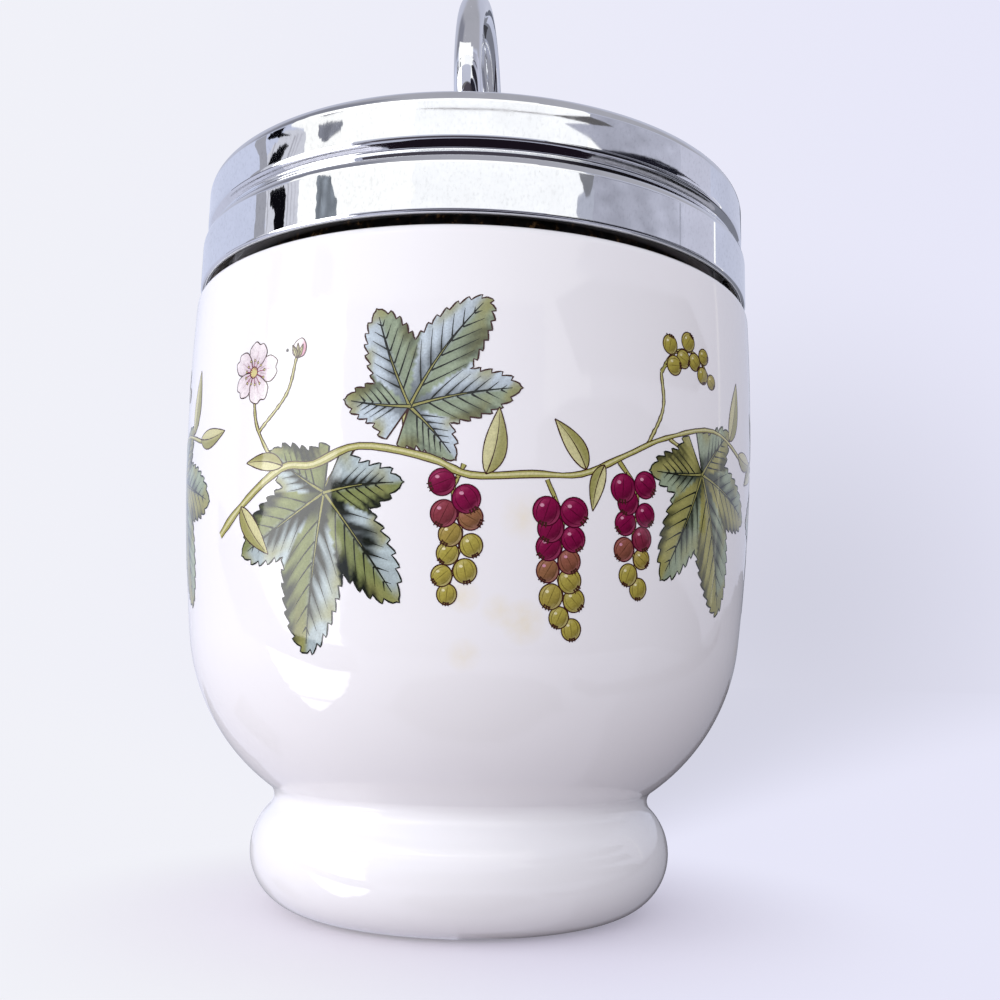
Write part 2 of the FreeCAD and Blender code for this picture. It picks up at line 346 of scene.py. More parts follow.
def cup_outline():
    centre, foot_angle, bowl_angle = waist()
    floor_z = LOW_CENTRE[1] - BOWL_LOW_RADIUS + CUP_WALL
    belly_r = BOWL_MAX_R - CUP_WALL
    swing = math.acos(1 - (belly_r - BORE_R) / (2 * THROAT_RADIUS))
    throat_low_z = LEDGE_Z - 2 * THROAT_RADIUS * math.sin(swing)
    side_top_z = LEDGE_Z - 2 * LEDGE_EDGE
    ledge_r = float(along_side(LEDGE_Z)[0])
    top_angle = math.degrees(math.asin((side_top_z - BOWL_MAX_Z) / BOWL_SIDE_RADIUS))
    half, swing = NECK_WALL / 2, math.degrees(swing)
    outline = Outline(0, FOOT_RECESS_DEPTH)
    outline.bends([
        (FOOT_RECESS_R, FOOT_RECESS_DEPTH, RECESS_CORNER),
        (FOOT_RECESS_R, 0, FOOT_EDGE),
        (FOOT_ROLL_CENTRE[0], 0, 0),
    ])
    outline.arc(FOOT_ROLL_CENTRE, FOOT_ROLL_RADIUS, -90, foot_angle)
    outline.arc(centre, WAIST_FILLET, foot_angle + 180, bowl_angle + 180, chord=0.12)
    outline.arc(LOW_CENTRE, BOWL_LOW_RADIUS, bowl_angle, TURN_ANGLE, chord=0.7)
    outline.arc(SIDE_CENTRE, BOWL_SIDE_RADIUS, TURN_ANGLE, top_angle, chord=1.0)
    outline.bends([
        (ledge_r, LEDGE_Z, LEDGE_EDGE),
        (NECK_R, LEDGE_Z, LEDGE_HOLLOW),
        (NECK_R, RIM_Z - half, 0),
    ])
    outline.arc((NECK_R - half, RIM_Z - half), half, 0, 180, chord=0.2)
    outline.line(BORE_R, LEDGE_Z)
    outline.arc((BORE_R + THROAT_RADIUS, LEDGE_Z), THROAT_RADIUS, 180, 180 + swing)
    outline.arc((belly_r - THROAT_RADIUS, throat_low_z), THROAT_RADIUS, swing, 0)
    outline.line(belly_r, BOWL_MAX_Z)
    outline.arc(SIDE_CENTRE, BOWL_SIDE_RADIUS - CUP_WALL, 0, TURN_ANGLE, chord=1.0)
    outline.arc(LOW_CENTRE, BOWL_LOW_RADIUS - CUP_WALL, TURN_ANGLE, -90, chord=0.7)
    return outline.line(0, floor_z, parts=4)


# ---- The lid's outlines ----
def lid_outline():
    half = SHEET / 2
    band_r, skirt_r = CAP_BAND_R - half, CAP_SKIRT_R - half
    top_z, panel_z, curl_z = CAP_TOP_Z - half, PANEL_TOP_Z - half, CAP_LOW_Z + half
    return sheet_outline([
        (HOLE_R, panel_z, 0),
        (PANEL_R, panel_z, STEP_BEND),
        (PANEL_STEP_R, top_z, STEP_BEND),
        (band_r, top_z, CAP_CORNER),
        (band_r, GROOVE_TOP_Z, GROOVE_LIP),
        (band_r - GROOVE_DEPTH, GROOVE_Z, GROOVE_BEND),
        (skirt_r, GROOVE_LOW_Z, GROOVE_SHOULDER),
        (skirt_r, curl_z, CURL_RADIUS),
        (skirt_r - 2 * CURL_RADIUS, curl_z, CURL_RADIUS),
        (skirt_r - 2 * CURL_RADIUS, curl_z + CURL_RADIUS + CURL_RISE, 0),
    ][::-1], SHEET)


def band_outline():
    half = BAND_SHEET / 2
    middle = CAP_SKIRT_R - SHEET - BAND_GAP - half
    low = CAP_LOW_Z + SHEET / 2 + CURL_RADIUS + CURL_RISE + BAND_GAP + half
    return sheet_outline([
        (middle, GROOVE_LOW_Z - GROOVE_SHOULDER / 2 - BAND_GAP, 0),
        (middle, low, BAND_BEND),
        (middle - BAND_LIP, low, 0),
    ][::-1], BAND_SHEET)


def stud_outline():
    head_low, head_high = WIRE_LOW_Z - STUD_HEAD_WALL, WIRE_LOW_Z + 2 * WIRE_RADIUS + STUD_HEAD_WALL
    collar = PANEL_TOP_Z + FACE_GAP
    rivet_high = PANEL_TOP_Z - SHEET - WASHER_HEIGHT - 2 * FACE_GAP
    rivet_low = rivet_high - RIVET_HEAD_HEIGHT
    return Outline(0, rivet_low).bends([
        (RIVET_HEAD_R, rivet_low, 0.9),
        (RIVET_HEAD_R, rivet_high, 0.2),
        (SHANK_R, rivet_high, 0),
        (SHANK_R, collar, 0),
        (COLLAR_R, collar, 0.25),
        (COLLAR_R, collar + COLLAR_HEIGHT, 0.4),
        (STUD_NECK_R, collar + COLLAR_HEIGHT, 0.15),
        (STUD_NECK_R, head_low, 0.1),
        (STUD_HEAD_R, head_low, 0.3),
        (STUD_HEAD_R, head_high, 1.6),
        (0, head_high, 0),
    ])


def washer_outline():
    high = PANEL_TOP_Z - SHEET - FACE_GAP
    low = high - WASHER_HEIGHT
    middle = (high + low) / 2
    return Outline(HOLE_R, middle).bends([
        (HOLE_R, low, 0.1),
        (WASHER_R, low, 0.25),
        (WASHER_R, high, 0.25),
        (HOLE_R, high, 0.1),
        (HOLE_R, middle, 0),
    ])


def ring_mesh(name):
    """The wire ring, with the faint waviness of hand-bent wire."""
    turns, sides, wire = 224, 48, WIRE_RADIUS - WIRE_SPARE
    places = []
    for around in (FULL_TURN * turn / turns for turn in range(turns)):
        radius = RING_RADIUS - WIRE_WAVE + WIRE_WAVE * math.sin(3 * around + 0.7)
        for across in (FULL_TURN * side / sides for side in range(sides)):
            out, x = radius + wire * math.cos(across), wire * math.sin(across)
            places.append((x, out * math.sin(around), RING_CENTRE_Z - out * math.cos(around)))
    return mesh_object(name, places, [(a, d, c, b) for a, b, c, d in tube_faces(turns, sides, joined=True)])


# ---- The printed band ----
PRINT_R = BOWL_MAX_R            # the drawing is laid out flat at this radius: u along the cup, v is height
PRINT_LIFT = 0.03
CRIMSON, CRIMSON_DARK, CRIMSON_LIGHT = "7d0f42", "43041f", "b0446e"
UNRIPE, UNRIPE_DARK, UNRIPE_LIGHT = "a79c48", "6d6129", "cdc486"
PALE_LEAF, GREY_LEAF, OLIVE_LEAF, DARK_LEAF = "b2bfc8", "8d9b83", "98965a", "141a14"
STEM_FILL, STEM_LIGHT, PEN, PEN_GREEN = "a3a15c", "cdca98", "3d2119", "1e221a"
PETAL, PETAL_SHADE, PETAL_PEN, BUD_SHADE, STAMEN = "f0eaec", "cfc0ca", "a98793", "c98aa3", "8c2f4e"
GLINT_RIPE, GLINT_UNRIPE = "cf93ab", "e0dab0"


def rgb(code):
    """Linear colour of a six-digit hexadecimal one."""
    parts = np.array([int(code[i:i + 2], 16) for i in (0, 2, 4)]) / 255
    return np.where(parts <= 0.04045, parts / 12.92, ((parts + 0.055) / 1.055) ** 2.4)


def mix(a, b, share):
    share = np.clip(np.asarray(share, float), 0, 1)[..., None]
    return np.asarray(a) * (1 - share) + np.asarray(b) * share


def smooth(low, high, value):
    t = np.clip((value - low) / (high - low), 0, 1)
    return t * t * (3 - 2 * t)


def evenly(colour):
    """A rule that gives one colour everywhere, from a hexadecimal code or linear numbers."""
    colour = rgb(colour) if isinstance(colour, str) else np.array(colour, float)
    return lambda points: np.broadcast_to(colour, (len(points), 3))


class Drawing:
    """Closed shapes on a flat sheet. Where shapes overlap, the last one added shows."""

    def __init__(self):
        self.shapes = []
        self.extra = []

    def add(self, outline, colour, grain=None):
        """outline: points of a closed shape. colour: one colour, or a rule from points to linear colours.
        grain: spacing of extra points inside, for a colour that changes across the shape."""
        outline = np.asarray(outline, float)
        ahead = np.roll(outline, -1, axis=0)
        if (outline[:, 0] * ahead[:, 1] - outline[:, 1] * ahead[:, 0]).sum() < 0:
            outline = outline[::-1]
        self.shapes.append((outline, colour if callable(colour) else evenly(colour)))
        if grain:
            low, high = outline.min(0), outline.max(0)
            for i, v in enumerate(np.arange(low[1], high[1], grain * 0.87)):
                us = np.arange(low[0] + (i % 2) * grain / 2, high[0], grain)
                row = np.stack((us, np.full(len(us), v)), 1)
                self.extra.append(row[inside(row, outline)])

    def ribbon(self, path, widths, colour):
        """A pen stroke along path. widths: one number, or its widths at the start, middle and end."""
        path = np.asarray(path, float)
        way = np.gradient(path, axis=0)
        across = left_of(way / np.maximum(np.hypot(*way.T), 1e-9)[:, None])
        widths = np.interp(np.linspace(0, 1, len(path)), (0, 0.5, 1), np.broadcast_to(widths, 3)) / 2
        widths = widths * (1 + 0.22 * np.sin(path[:, 0] * 5.1 + path[:, 1] * 3.7) * np.sin(path[:, 1] * 2.3))
        left, right = path + across * widths[:, None], path - across * widths[:, None]
        self.add(np.concatenate((right, left[::-1])), colour)

    def ring(self, outline, width, colour):
        """A pen line all round a closed outline."""
        closed = np.concatenate((outline, outline[:1]))
        half = len(closed) // 2 + 1
        self.ribbon(closed[:half], width, colour)
        self.ribbon(closed[half - 1:], width, colour)

    def disc(self, centre, radius, colour, sides, grain=None, squeeze=1.0):
        edge = rays(FULL_TURN * np.arange(sides) / sides) * (radius, radius * squeeze)
        self.add(centre + edge, colour, grain)

    def meshed(self):
        """Flat points, triangles and the colour at each triangle's corners, by the shape that shows there."""
        places, shapes = [], []
        for outline, _ in self.shapes:
            shapes.append(list(range(len(places), len(places) + len(outline))))
            places += [Vector(p) for p in outline]
        places += [Vector(p) for row in self.extra for p in row]
        found = delaunay_2d_cdt(places, [], shapes, 1, 1e-4, True)
        flat = np.array([tuple(p) for p in found[0]])
        kept = [(face, max(owners)) for face, owners in zip(found[2], found[5]) if owners]
        faces = np.array([face for face, _ in kept])
        tops = np.array([top for _, top in kept])
        colours = np.ones((len(faces) * 3, 4))
        for top in np.unique(tops):
            at = np.flatnonzero(tops == top)
            corners = (at[:, None] * 3 + np.arange(3)).ravel()
            colours[corners, :3] = self.shapes[top][1](flat[faces[at].ravel()])
        return flat, faces, colours


def inside(points, outline):
    """Which points lie inside a closed outline."""
    x, y = points[:, 0:1], points[:, 1:2]
    x1, y1 = outline[:, 0], outline[:, 1]
    x2, y2 = np.roll(x1, -1), np.roll(y1, -1)
    crosses = (y1 > y) != (y2 > y)
    rise = np.where(y2 == y1, 1e-12, y2 - y1)
    return (crosses & (x < (x2 - x1) * (y - y1) / rise + x1)).sum(1) % 2 == 1


def curve(points, count):
    """A smooth line through a few points."""
    points = np.asarray(points, float)
    padded = np.concatenate((2 * points[:1] - points[1:2], points, 2 * points[-1:] - points[-2:-1]))
    line = []
    for a, b, c, d in zip(padded, padded[1:], padded[2:], padded[3:]):
        t = np.linspace(0, 1, max(3, count // (len(points) - 1)), endpoint=False)[:, None]
        line.append(0.5 * (2 * b + (c - a) * t + (2 * a - 5 * b + 4 * c - d) * t ** 2
                           + (3 * b - a - 3 * c + d) * t ** 3))
    return np.concatenate(line + [points[-1:]])


class Placed:
    """Where a motif sits: its own x axis points along angle (degrees) from origin, bent a little."""

    def __init__(self, origin, angle, size=1.0, squeeze=1.0, bend=0.0):
        way = heading(angle)
        self.matrix = np.stack((way, left_of(way)), 1) * (size, size * squeeze)
        self.inverse = np.linalg.inv(self.matrix)
        self.origin, self.bend = np.asarray(origin, float), bend

    def out(self, points):
        points = np.array(points, float)
        points[:, 1] += self.bend * points[:, 0] ** 2
        return points @ self.matrix.T + self.origin

    def back(self, points):
        points = (np.asarray(points) - self.origin) @ self.inverse.T
        points[:, 1] -= self.bend * points[:, 0] ** 2
        return points


# the lobes of a leaf: angle from the midrib, length, spread
LOBES = ((-108, 0.55, 21), (-53, 0.86, 20), (0, 1.0, 23), (53, 0.86, 20), (108, 0.55, 21))
LEAF_OPEN = 170                 # degrees each side of the midrib, up to the notch at the stalk
LEAF_POINTS = 900
TOOTH, TOOTH_DEPTH = 0.085, 0.032       # shares of the leaf's length
TEETH = ((0.0, 0.0), (0.4, 0.5), (0.75, 0.9), (0.94, 1.0))
VEIN_FIRST, VEIN_STEP = 0.18, 0.135     # shares of a lobe's length
VEIN_POINTS, VEIN_PACE, VEIN_TURN = 40, 0.02, 0.018
PETALS, STAMENS = 5, 13


def leaf_reach(angle):
    """Distance from a lobed leaf's base to its edge, without teeth, at an angle from the midrib."""
    total = 0.3 ** 5
    for middle, length, spread in LOBES:
        total = total + (length * np.exp(-np.abs((angle - middle) / spread) ** 1.6 / 2)) ** 5
    return total ** 0.2


def running_length(line):
    """The distance along a line at each of its points."""
    return np.concatenate(((0,), np.cumsum(np.hypot(*np.diff(line, axis=0).T))))


def leaf_edge():
    """Toothed outline of a lobed leaf of length 1. The teeth point to the tips of the lobes."""
    angles = np.linspace(-LEAF_OPEN, LEAF_OPEN, LEAF_POINTS)
    reach = leaf_reach(angles)
    smooth_edge = reach[:, None] * rays(np.radians(angles))
    length = running_length(smooth_edge)
    way = np.gradient(smooth_edge, axis=0)
    outwards = -left_of(way) / np.hypot(*way.T)[:, None]
    turns = np.flatnonzero(np.diff(reach)[:-1] * np.diff(reach)[1:] < 0) + 1
    turns = [0, *turns, LEAF_POINTS - 1]
    edge = [(0.0, 0.0)]
    for a, b in zip(turns, turns[1:]):
        run = length[b] - length[a]
        count = max(1, round(run / TOOTH))
        marks = [((k + share) / count, lift) for k in range(count) for share, lift in TEETH]
        if reach[b] > reach[a]:
            marks.append((1.0, 1.5))
        else:
            marks = [(1 - share, lift) for share, lift in reversed(marks)]
        for share, lift in marks:
            i = int(round(np.interp(length[a] + share * run, length, np.arange(LEAF_POINTS))))
            edge.append(tuple(smooth_edge[i] + outwards[i] * TOOTH_DEPTH * lift))
    return np.array(edge)


def wave(points, seed, pitch):
    """A soft random variation from -1 to 1 over flat points."""
    rng = random.Random(seed)
    total = 0
    for _ in range(5):
        angle, phase, scale = rng.uniform(0, FULL_TURN), rng.uniform(0, FULL_TURN), rng.uniform(0.6, 1.7)
        total = total + np.sin((points[:, 0] * math.cos(angle) + points[:, 1] * math.sin(angle))
                               * FULL_TURN * scale / pitch + phase)
    return total / 3.2


def lobed_leaf(art, origin, angle, size, tones, seed, squeeze, bend):
    """A lobed leaf with its stalk at origin. tones: (light side, other side, depth of its dark shading)."""
    place = Placed(origin, angle, size, squeeze, bend)
    light, other, depth = rgb(tones[0]), rgb(tones[1]), tones[2]
    dark, olive = rgb(DARK_LEAF), rgb(OLIVE_LEAF)
    middles, lengths, _ = np.array(LOBES).T

    def colour(points):
        local = place.back(points)
        reach = np.hypot(*local.T)
        at = np.degrees(np.arctan2(local[:, 1], local[:, 0]))
        lobe = np.abs(at[:, None] - middles).argmin(1)
        off = np.radians(at - middles[lobe])
        along = reach * np.cos(off) / lengths[lobe]
        across = reach * np.sin(off) / (0.24 * lengths[lobe])
        out = np.abs(across)
        ripple = wave(local, seed, 0.4)
        vein = 0.5 + 0.5 * np.cos(FULL_TURN * (along - VEIN_FIRST - 0.3 * out) / VEIN_STEP)
        made = mix(other, light, smooth(-0.1, 0.15, across))
        made = made * (1 + 0.3 * (1 - vein) * smooth(0.1, 0.6, out))[:, None]
        made = mix(made, olive, 0.75 * smooth(0.6, 1.0, reach / leaf_reach(at)) * smooth(-0.3, 0.5, ripple))
        by_rib = smooth(0.85, 0.05, out) * (0.45 + 0.55 * vein) * smooth(1.05, 0.35, along)
        by_edge = smooth(0.1, 1.0, out) * (0.55 + 0.45 * vein) * smooth(0.1, 0.7, along)
        shade = np.where(across > 0, by_rib, by_edge) + 0.6 * smooth(0.32, 0.0, along) + 0.22 * ripple
        return mix(made, dark, depth * smooth(0.05, 1.05 - 0.4 * depth, shade))

    edge = place.out(leaf_edge())
    art.add(edge, colour, grain=0.34)
    art.ring(edge, 0.17, PEN if depth < 0.7 else PEN_GREEN)
    for middle, length, _ in LOBES:
        way = heading(middle)
        side = left_of(way)
        for share in np.arange(VEIN_FIRST, 0.9, VEIN_STEP):
            for hand in (1, -1):
                slant = heading(42 - 8 * share)
                step = way * slant[0] + side * hand * slant[1]
                vein = [way * length * share]
                while len(vein) < VEIN_POINTS:
                    nxt = vein[-1] + step * VEIN_PACE
                    at = angle_of(nxt)
                    if np.hypot(*nxt) > 0.93 * leaf_reach(at) or abs(at - middle) > 27 and share < 0.55:
                        break
                    vein.append(nxt)
                    step = step + way * VEIN_TURN
                if len(vein) > 3:
                    art.ribbon(place.out(vein), (0.2, 0.12, 0.04), PEN_GREEN)
        rib = [way * length * t + side * 0.015 * math.sin(3 * t) for t in np.linspace(0, 0.96, 24)]
        art.ribbon(place.out(rib), (0.46, 0.28, 0.08), PEN_GREEN)
        art.ribbon(place.out(rib)[:14], (0.24, 0.12, 0.03), OLIVE_LEAF)


def small_leaf(art, origin, angle, length, width=0.3):
    """A plain lance-shaped leaf."""
    place = Placed(origin, angle, length, 1.0, 0.25)
    t = np.linspace(0, 1, 15)
    half = width * np.sin(math.pi * t ** 0.8) ** 0.9 * 0.6
    edge = place.out(np.concatenate((np.stack((t, -half), 1), np.stack((t, half), 1)[-2:0:-1])))

    def colour(points):
        return mix(rgb(OLIVE_LEAF), rgb(STEM_LIGHT), smooth(-0.05, 0.05, place.back(points)[:, 1]))

    art.add(edge, colour, grain=0.4)
    art.ring(edge, 0.12, PEN)
    art.ribbon(place.out(np.stack((t * 0.92, 0 * t), 1)), (0.14, 0.1, 0.04), PEN)


def stem(art, points, widths):
    """A stem with pen lines along both sides and a light upper side."""
    line = curve(points, 60)
    widths = np.broadcast_to(widths, 3)
    art.ribbon(line, widths + 0.2, PEN)
    art.ribbon(line, widths, STEM_FILL)
    art.ribbon(line + (0, 0.04), widths * 0.4, STEM_LIGHT)


def berry(art, centre, radius, ripe, hang):
    """A round currant. ripe: 0 to 1. hang: the way its withered tip points, in degrees."""
    body, dark, light = (mix(rgb(green), rgb(red), ripe) for green, red in (
        (UNRIPE, CRIMSON), (UNRIPE_DARK, CRIMSON_DARK), (UNRIPE_LIGHT, CRIMSON_LIGHT)))

    def colour(points):
        local = (points - centre) / radius
        lit = -0.45 * local[:, 0] + 0.55 * local[:, 1]
        rim = np.hypot(*local.T)
        made = mix(body, dark, smooth(0.1, -0.75, lit))
        made = mix(made, light, 0.8 * smooth(0.25, 0.6, lit) * smooth(1.0, 0.7, rim))
        return mix(made, light, 0.5 * smooth(0.62, 0.9, rim) * smooth(-0.2, -0.6, lit))

    way = heading(hang)
    side = left_of(way)
    art.disc(centre, radius + 0.12, PEN if ripe < 0.5 else CRIMSON_DARK, 26)
    art.disc(centre, radius, colour, 24, grain=radius / 3.4)
    t = np.radians(np.linspace(-62, 62, 9))
    for turn in (-48, 0, 48):
        bulge = np.outer(np.cos(t) * heading(turn)[1], side) * radius
        line = centre + np.outer(np.sin(t), way) * radius + bulge
        art.ribbon(line, (0.03, 0.1, 0.03), mix(body, dark, 0.8))
    glint = centre + radius * np.array((-0.36, 0.4))
    art.disc(glint, radius * 0.17, GLINT_RIPE if ripe > 0.5 else GLINT_UNRIPE, 10, squeeze=0.75)
    for turn in (-15, 0, 15):
        out = heading(hang, turn)
        art.ribbon([centre + out * radius * s for s in (0.8, 1.0, 1.2)], (0.26, 0.2, 0.1), PEN)


def raceme(art, points, count, size, ripe, rng):
    """A string of currants along a hanging stalk. ripe: the share of it, from the top, that has turned."""
    line = curve(points, 60)
    length = running_length(line)

    def at(share):
        return np.array([np.interp(share * length[-1], length, line[:, k]) for k in (0, 1)])

    art.ribbon(line, (0.52, 0.42, 0.3), PEN)
    art.ribbon(line, (0.32, 0.24, 0.14), STEM_FILL)
    fruits = []
    for i in range(count):
        share = 0.16 + 0.84 * i / (count - 1)
        way = unit(at(min(1, share + 0.03)) - at(share - 0.03))
        hand = 0 if i == count - 1 else (1 if i % 2 else -1)
        radius = size * (1.0 - 0.3 * share) * rng.uniform(0.93, 1.06)
        place = at(share) + left_of(way) * hand * radius * 0.98 + way * radius * (0.35 if hand else 0.8)
        redness = float(np.clip((ripe - share) * 4 + 0.5 + rng.uniform(-0.2, 0.2), 0, 1))
        fruits.insert(0, (place, radius, redness, at(share), way, hand))
    for place, _, _, joint, way, _ in fruits:
        art.ribbon(curve((joint - way * 0.5, (joint + place) / 2 + way * 0.1, place), 8), 0.16, PEN)
    for place, radius, redness, _, way, hand in fruits:
        berry(art, place, radius, redness, angle_of(way) + hand * 38 + rng.uniform(-12, 12))


def blossom(art, centre, size, turn, rng):
    """A five-petalled flower seen a little from the side."""
    petal = curve(((0.06, -0.05), (0.34, -0.32), (0.72, -0.44), (0.98, -0.2), (0.94, 0.0), (1.0, 0.22),
                   (0.7, 0.45), (0.34, 0.3), (0.06, 0.05)), 48)
    pale, shade = rgb(PETAL), rgb(PETAL_SHADE)
    for k in range(PETALS):
        place = Placed(centre, turn + 360 / PETALS * k,
                       size * rng.uniform(0.92, 1.05), rng.uniform(0.86, 1.0))
        edge = place.out(petal)
        tint = rng.uniform(0.1, 0.5)

        def colour(points, place=place, tint=tint):
            local = place.back(points)
            fold = 0.5 + 0.5 * np.cos(local[:, 1] * 19)
            return mix(pale, shade, tint + 0.75 * smooth(0.6, 0.1, local[:, 0]) + 0.25 * fold
                       - 0.3 * smooth(0.5, 1.0, local[:, 0]))

        art.add(edge, colour, grain=0.35)
        art.ring(edge, 0.11, PEN)
        for slant in (-0.2, 0.0, 0.2):
            line = [(t, slant * t * 1.3) for t in np.linspace(0.3, 0.72 - abs(slant), 7)]
            art.ribbon(place.out(line), (0.08, 0.06, 0.03), PETAL_PEN)
    art.disc(centre, size * 0.2, PEN, 14)
    art.disc(centre, size * 0.16, UNRIPE_LIGHT, 14)
    for k in range(STAMENS):
        way = heading(turn + 360 / STAMENS * k)
        reach = size * rng.uniform(0.34, 0.5)
        art.ribbon([centre + way * reach * t for t in (0.3, 0.65, 1.0)], 0.09, STAMEN)
        art.disc(centre + way * reach, 0.17, PEN, 8)
        art.disc(centre + way * reach, 0.1, UNRIPE_LIGHT, 8)


def bud(art, centre, size, angle):
    """A closed bud in its sepals."""
    place = Placed(centre, angle, size)
    petal = curve(((0, 0), (0.25, -0.4), (0.75, -0.4), (1.1, 0), (0.75, 0.4), (0.25, 0.4), (0, 0)), 30)
    petal = place.out(petal[:-1])

    def colour(points):
        return mix(rgb(PETAL), rgb(BUD_SHADE), smooth(0.1, -0.4, place.back(points)[:, 1]))

    art.add(petal, colour, grain=0.3)
    art.ring(petal, 0.11, PEN)
    for slant in (-26, 0, 26):
        small_leaf(art, place.out([(0.0, 0.0)])[0], angle + slant, size * 0.8, 0.26)


def spray(art, u, seed, hand):
    """One fruiting branch, about 68 mm long, centred at u. hand -1 turns it round."""
    rng = random.Random(seed)

    def at(x, z):
        return np.array((u + hand * x, 46.8 + 1.12 * (z - 50)))

    def facing(angle):
        return angle if hand > 0 else 180 - angle

    def twig(widths, *points):
        stem(art, [at(*p) for p in points], widths)

    def leaf(x, z, angle, size, tones, salt, squeeze, bend):
        lobed_leaf(art, at(x, z), facing(angle), size, tones, seed + salt, squeeze, bend)

    def currants(count, size, ripe, *points):
        raceme(art, [at(*p) for p in points], count, size, ripe, rng)

    leaf_stalk, thin_stalk = (0.3, 0.26, 0.26), (0.28, 0.24, 0.2)
    currants(12, 1.42, 0.62, (3.5, 48.5), (5.2, 45), (5.0, 40.5), (6.4, 36.6))
    twig(leaf_stalk, (-15.5, 50.9), (-18, 48.5), (-18.7, 47))
    leaf(-18.7, 47.2, -104, 15.2, ("a3b1b4", "7a8352", 1.0), 1, 0.9, 0.1)
    twig(leaf_stalk, (-9.6, 50.2), (-10.5, 53.4), (-10, 54.6))
    leaf(-10, 54.4, 62, 12.8, (PALE_LEAF, GREY_LEAF, 0.62), 2, 0.88, -0.12)
    twig(leaf_stalk, (17.5, 53.4), (20.8, 52.2), (23.2, 50.6))
    leaf(23, 50.8, -66, 14.8, (GREY_LEAF, OLIVE_LEAF, 0.8), 3, 0.9, -0.08)
    currants(10, 1.36, 0.75, (11, 50.8), (13.4, 48), (13.2, 43.6), (14.0, 40.4))
    currants(10, 1.38, 0.45, (-4.6, 49.5), (-5.6, 47), (-4.7, 43.4), (-5.8, 39.2))
    twig(thin_stalk, (14.5, 52.4), (16.5, 56), (16.2, 59.4))
    currants(8, 1.1, -0.2, (16.2, 59.4), (18.2, 61.6), (21.4, 62), (24.0, 60.2))
    twig(thin_stalk, (-24.5, 49.4), (-27.5, 53.5), (-28.2, 56.5))
    blossom(art, at(-28.4, 58.8), 3.3, rng.uniform(0, 70), rng)
    twig((0.22, 0.2, 0.18), (-27.2, 53.2), (-23.6, 56.2), (-22.4, 59.6))
    bud(art, at(-22.4, 59.4), 1.9, facing(74))
    twig((0.75, 0.55, 0.28), (-34, 44.2), (-30, 46.6), (-24, 49.6), (-20, 49.7), (-15, 51.1), (-8, 50),
         (-4, 48.6), (2, 48.9), (7, 49.2), (12, 51.3), (17, 53.4), (25, 55.2), (33, 53.6))
    for x, z, angle, length in ((-2.5, 48.7, 66, 6.4), (7.5, 49.6, 112, 5.6), (-30, 46.6, -64, 6.4),
                                (29, 54.9, 60, 7.0), (32, 54, -14, 6.0), (9.5, 50.2, -118, 4.6),
                                (-23.8, 49.8, 158, 5.2)):
        small_leaf(art, at(x, z), facing(angle), length)


def printed_band(name):
    """The drawing as one mesh that follows the bowl, each corner coloured by the shape that shows there."""
    art = Drawing()
    for u, seed, hand in ((4.0, 11, 1), (76.5, 23, -1), (-67.5, 37, 1)):
        spray(art, u, seed, hand)
    flat, faces, colours = art.meshed()
    way = rays(FRONT + flat[:, 0] / PRINT_R)
    r, normal = along_side(flat[:, 1])
    out = r + normal[:, 0] * PRINT_LIFT
    height = flat[:, 1] + normal[:, 1] * PRINT_LIFT
    piece = inked(name, np.column_stack((out[:, None] * way, height)), faces, colours)
    normals = np.column_stack((normal[:, :1] * way, normal[:, 1]))
    piece.data.normals_split_custom_set_from_vertices([tuple(n) for n in normals])
    return piece


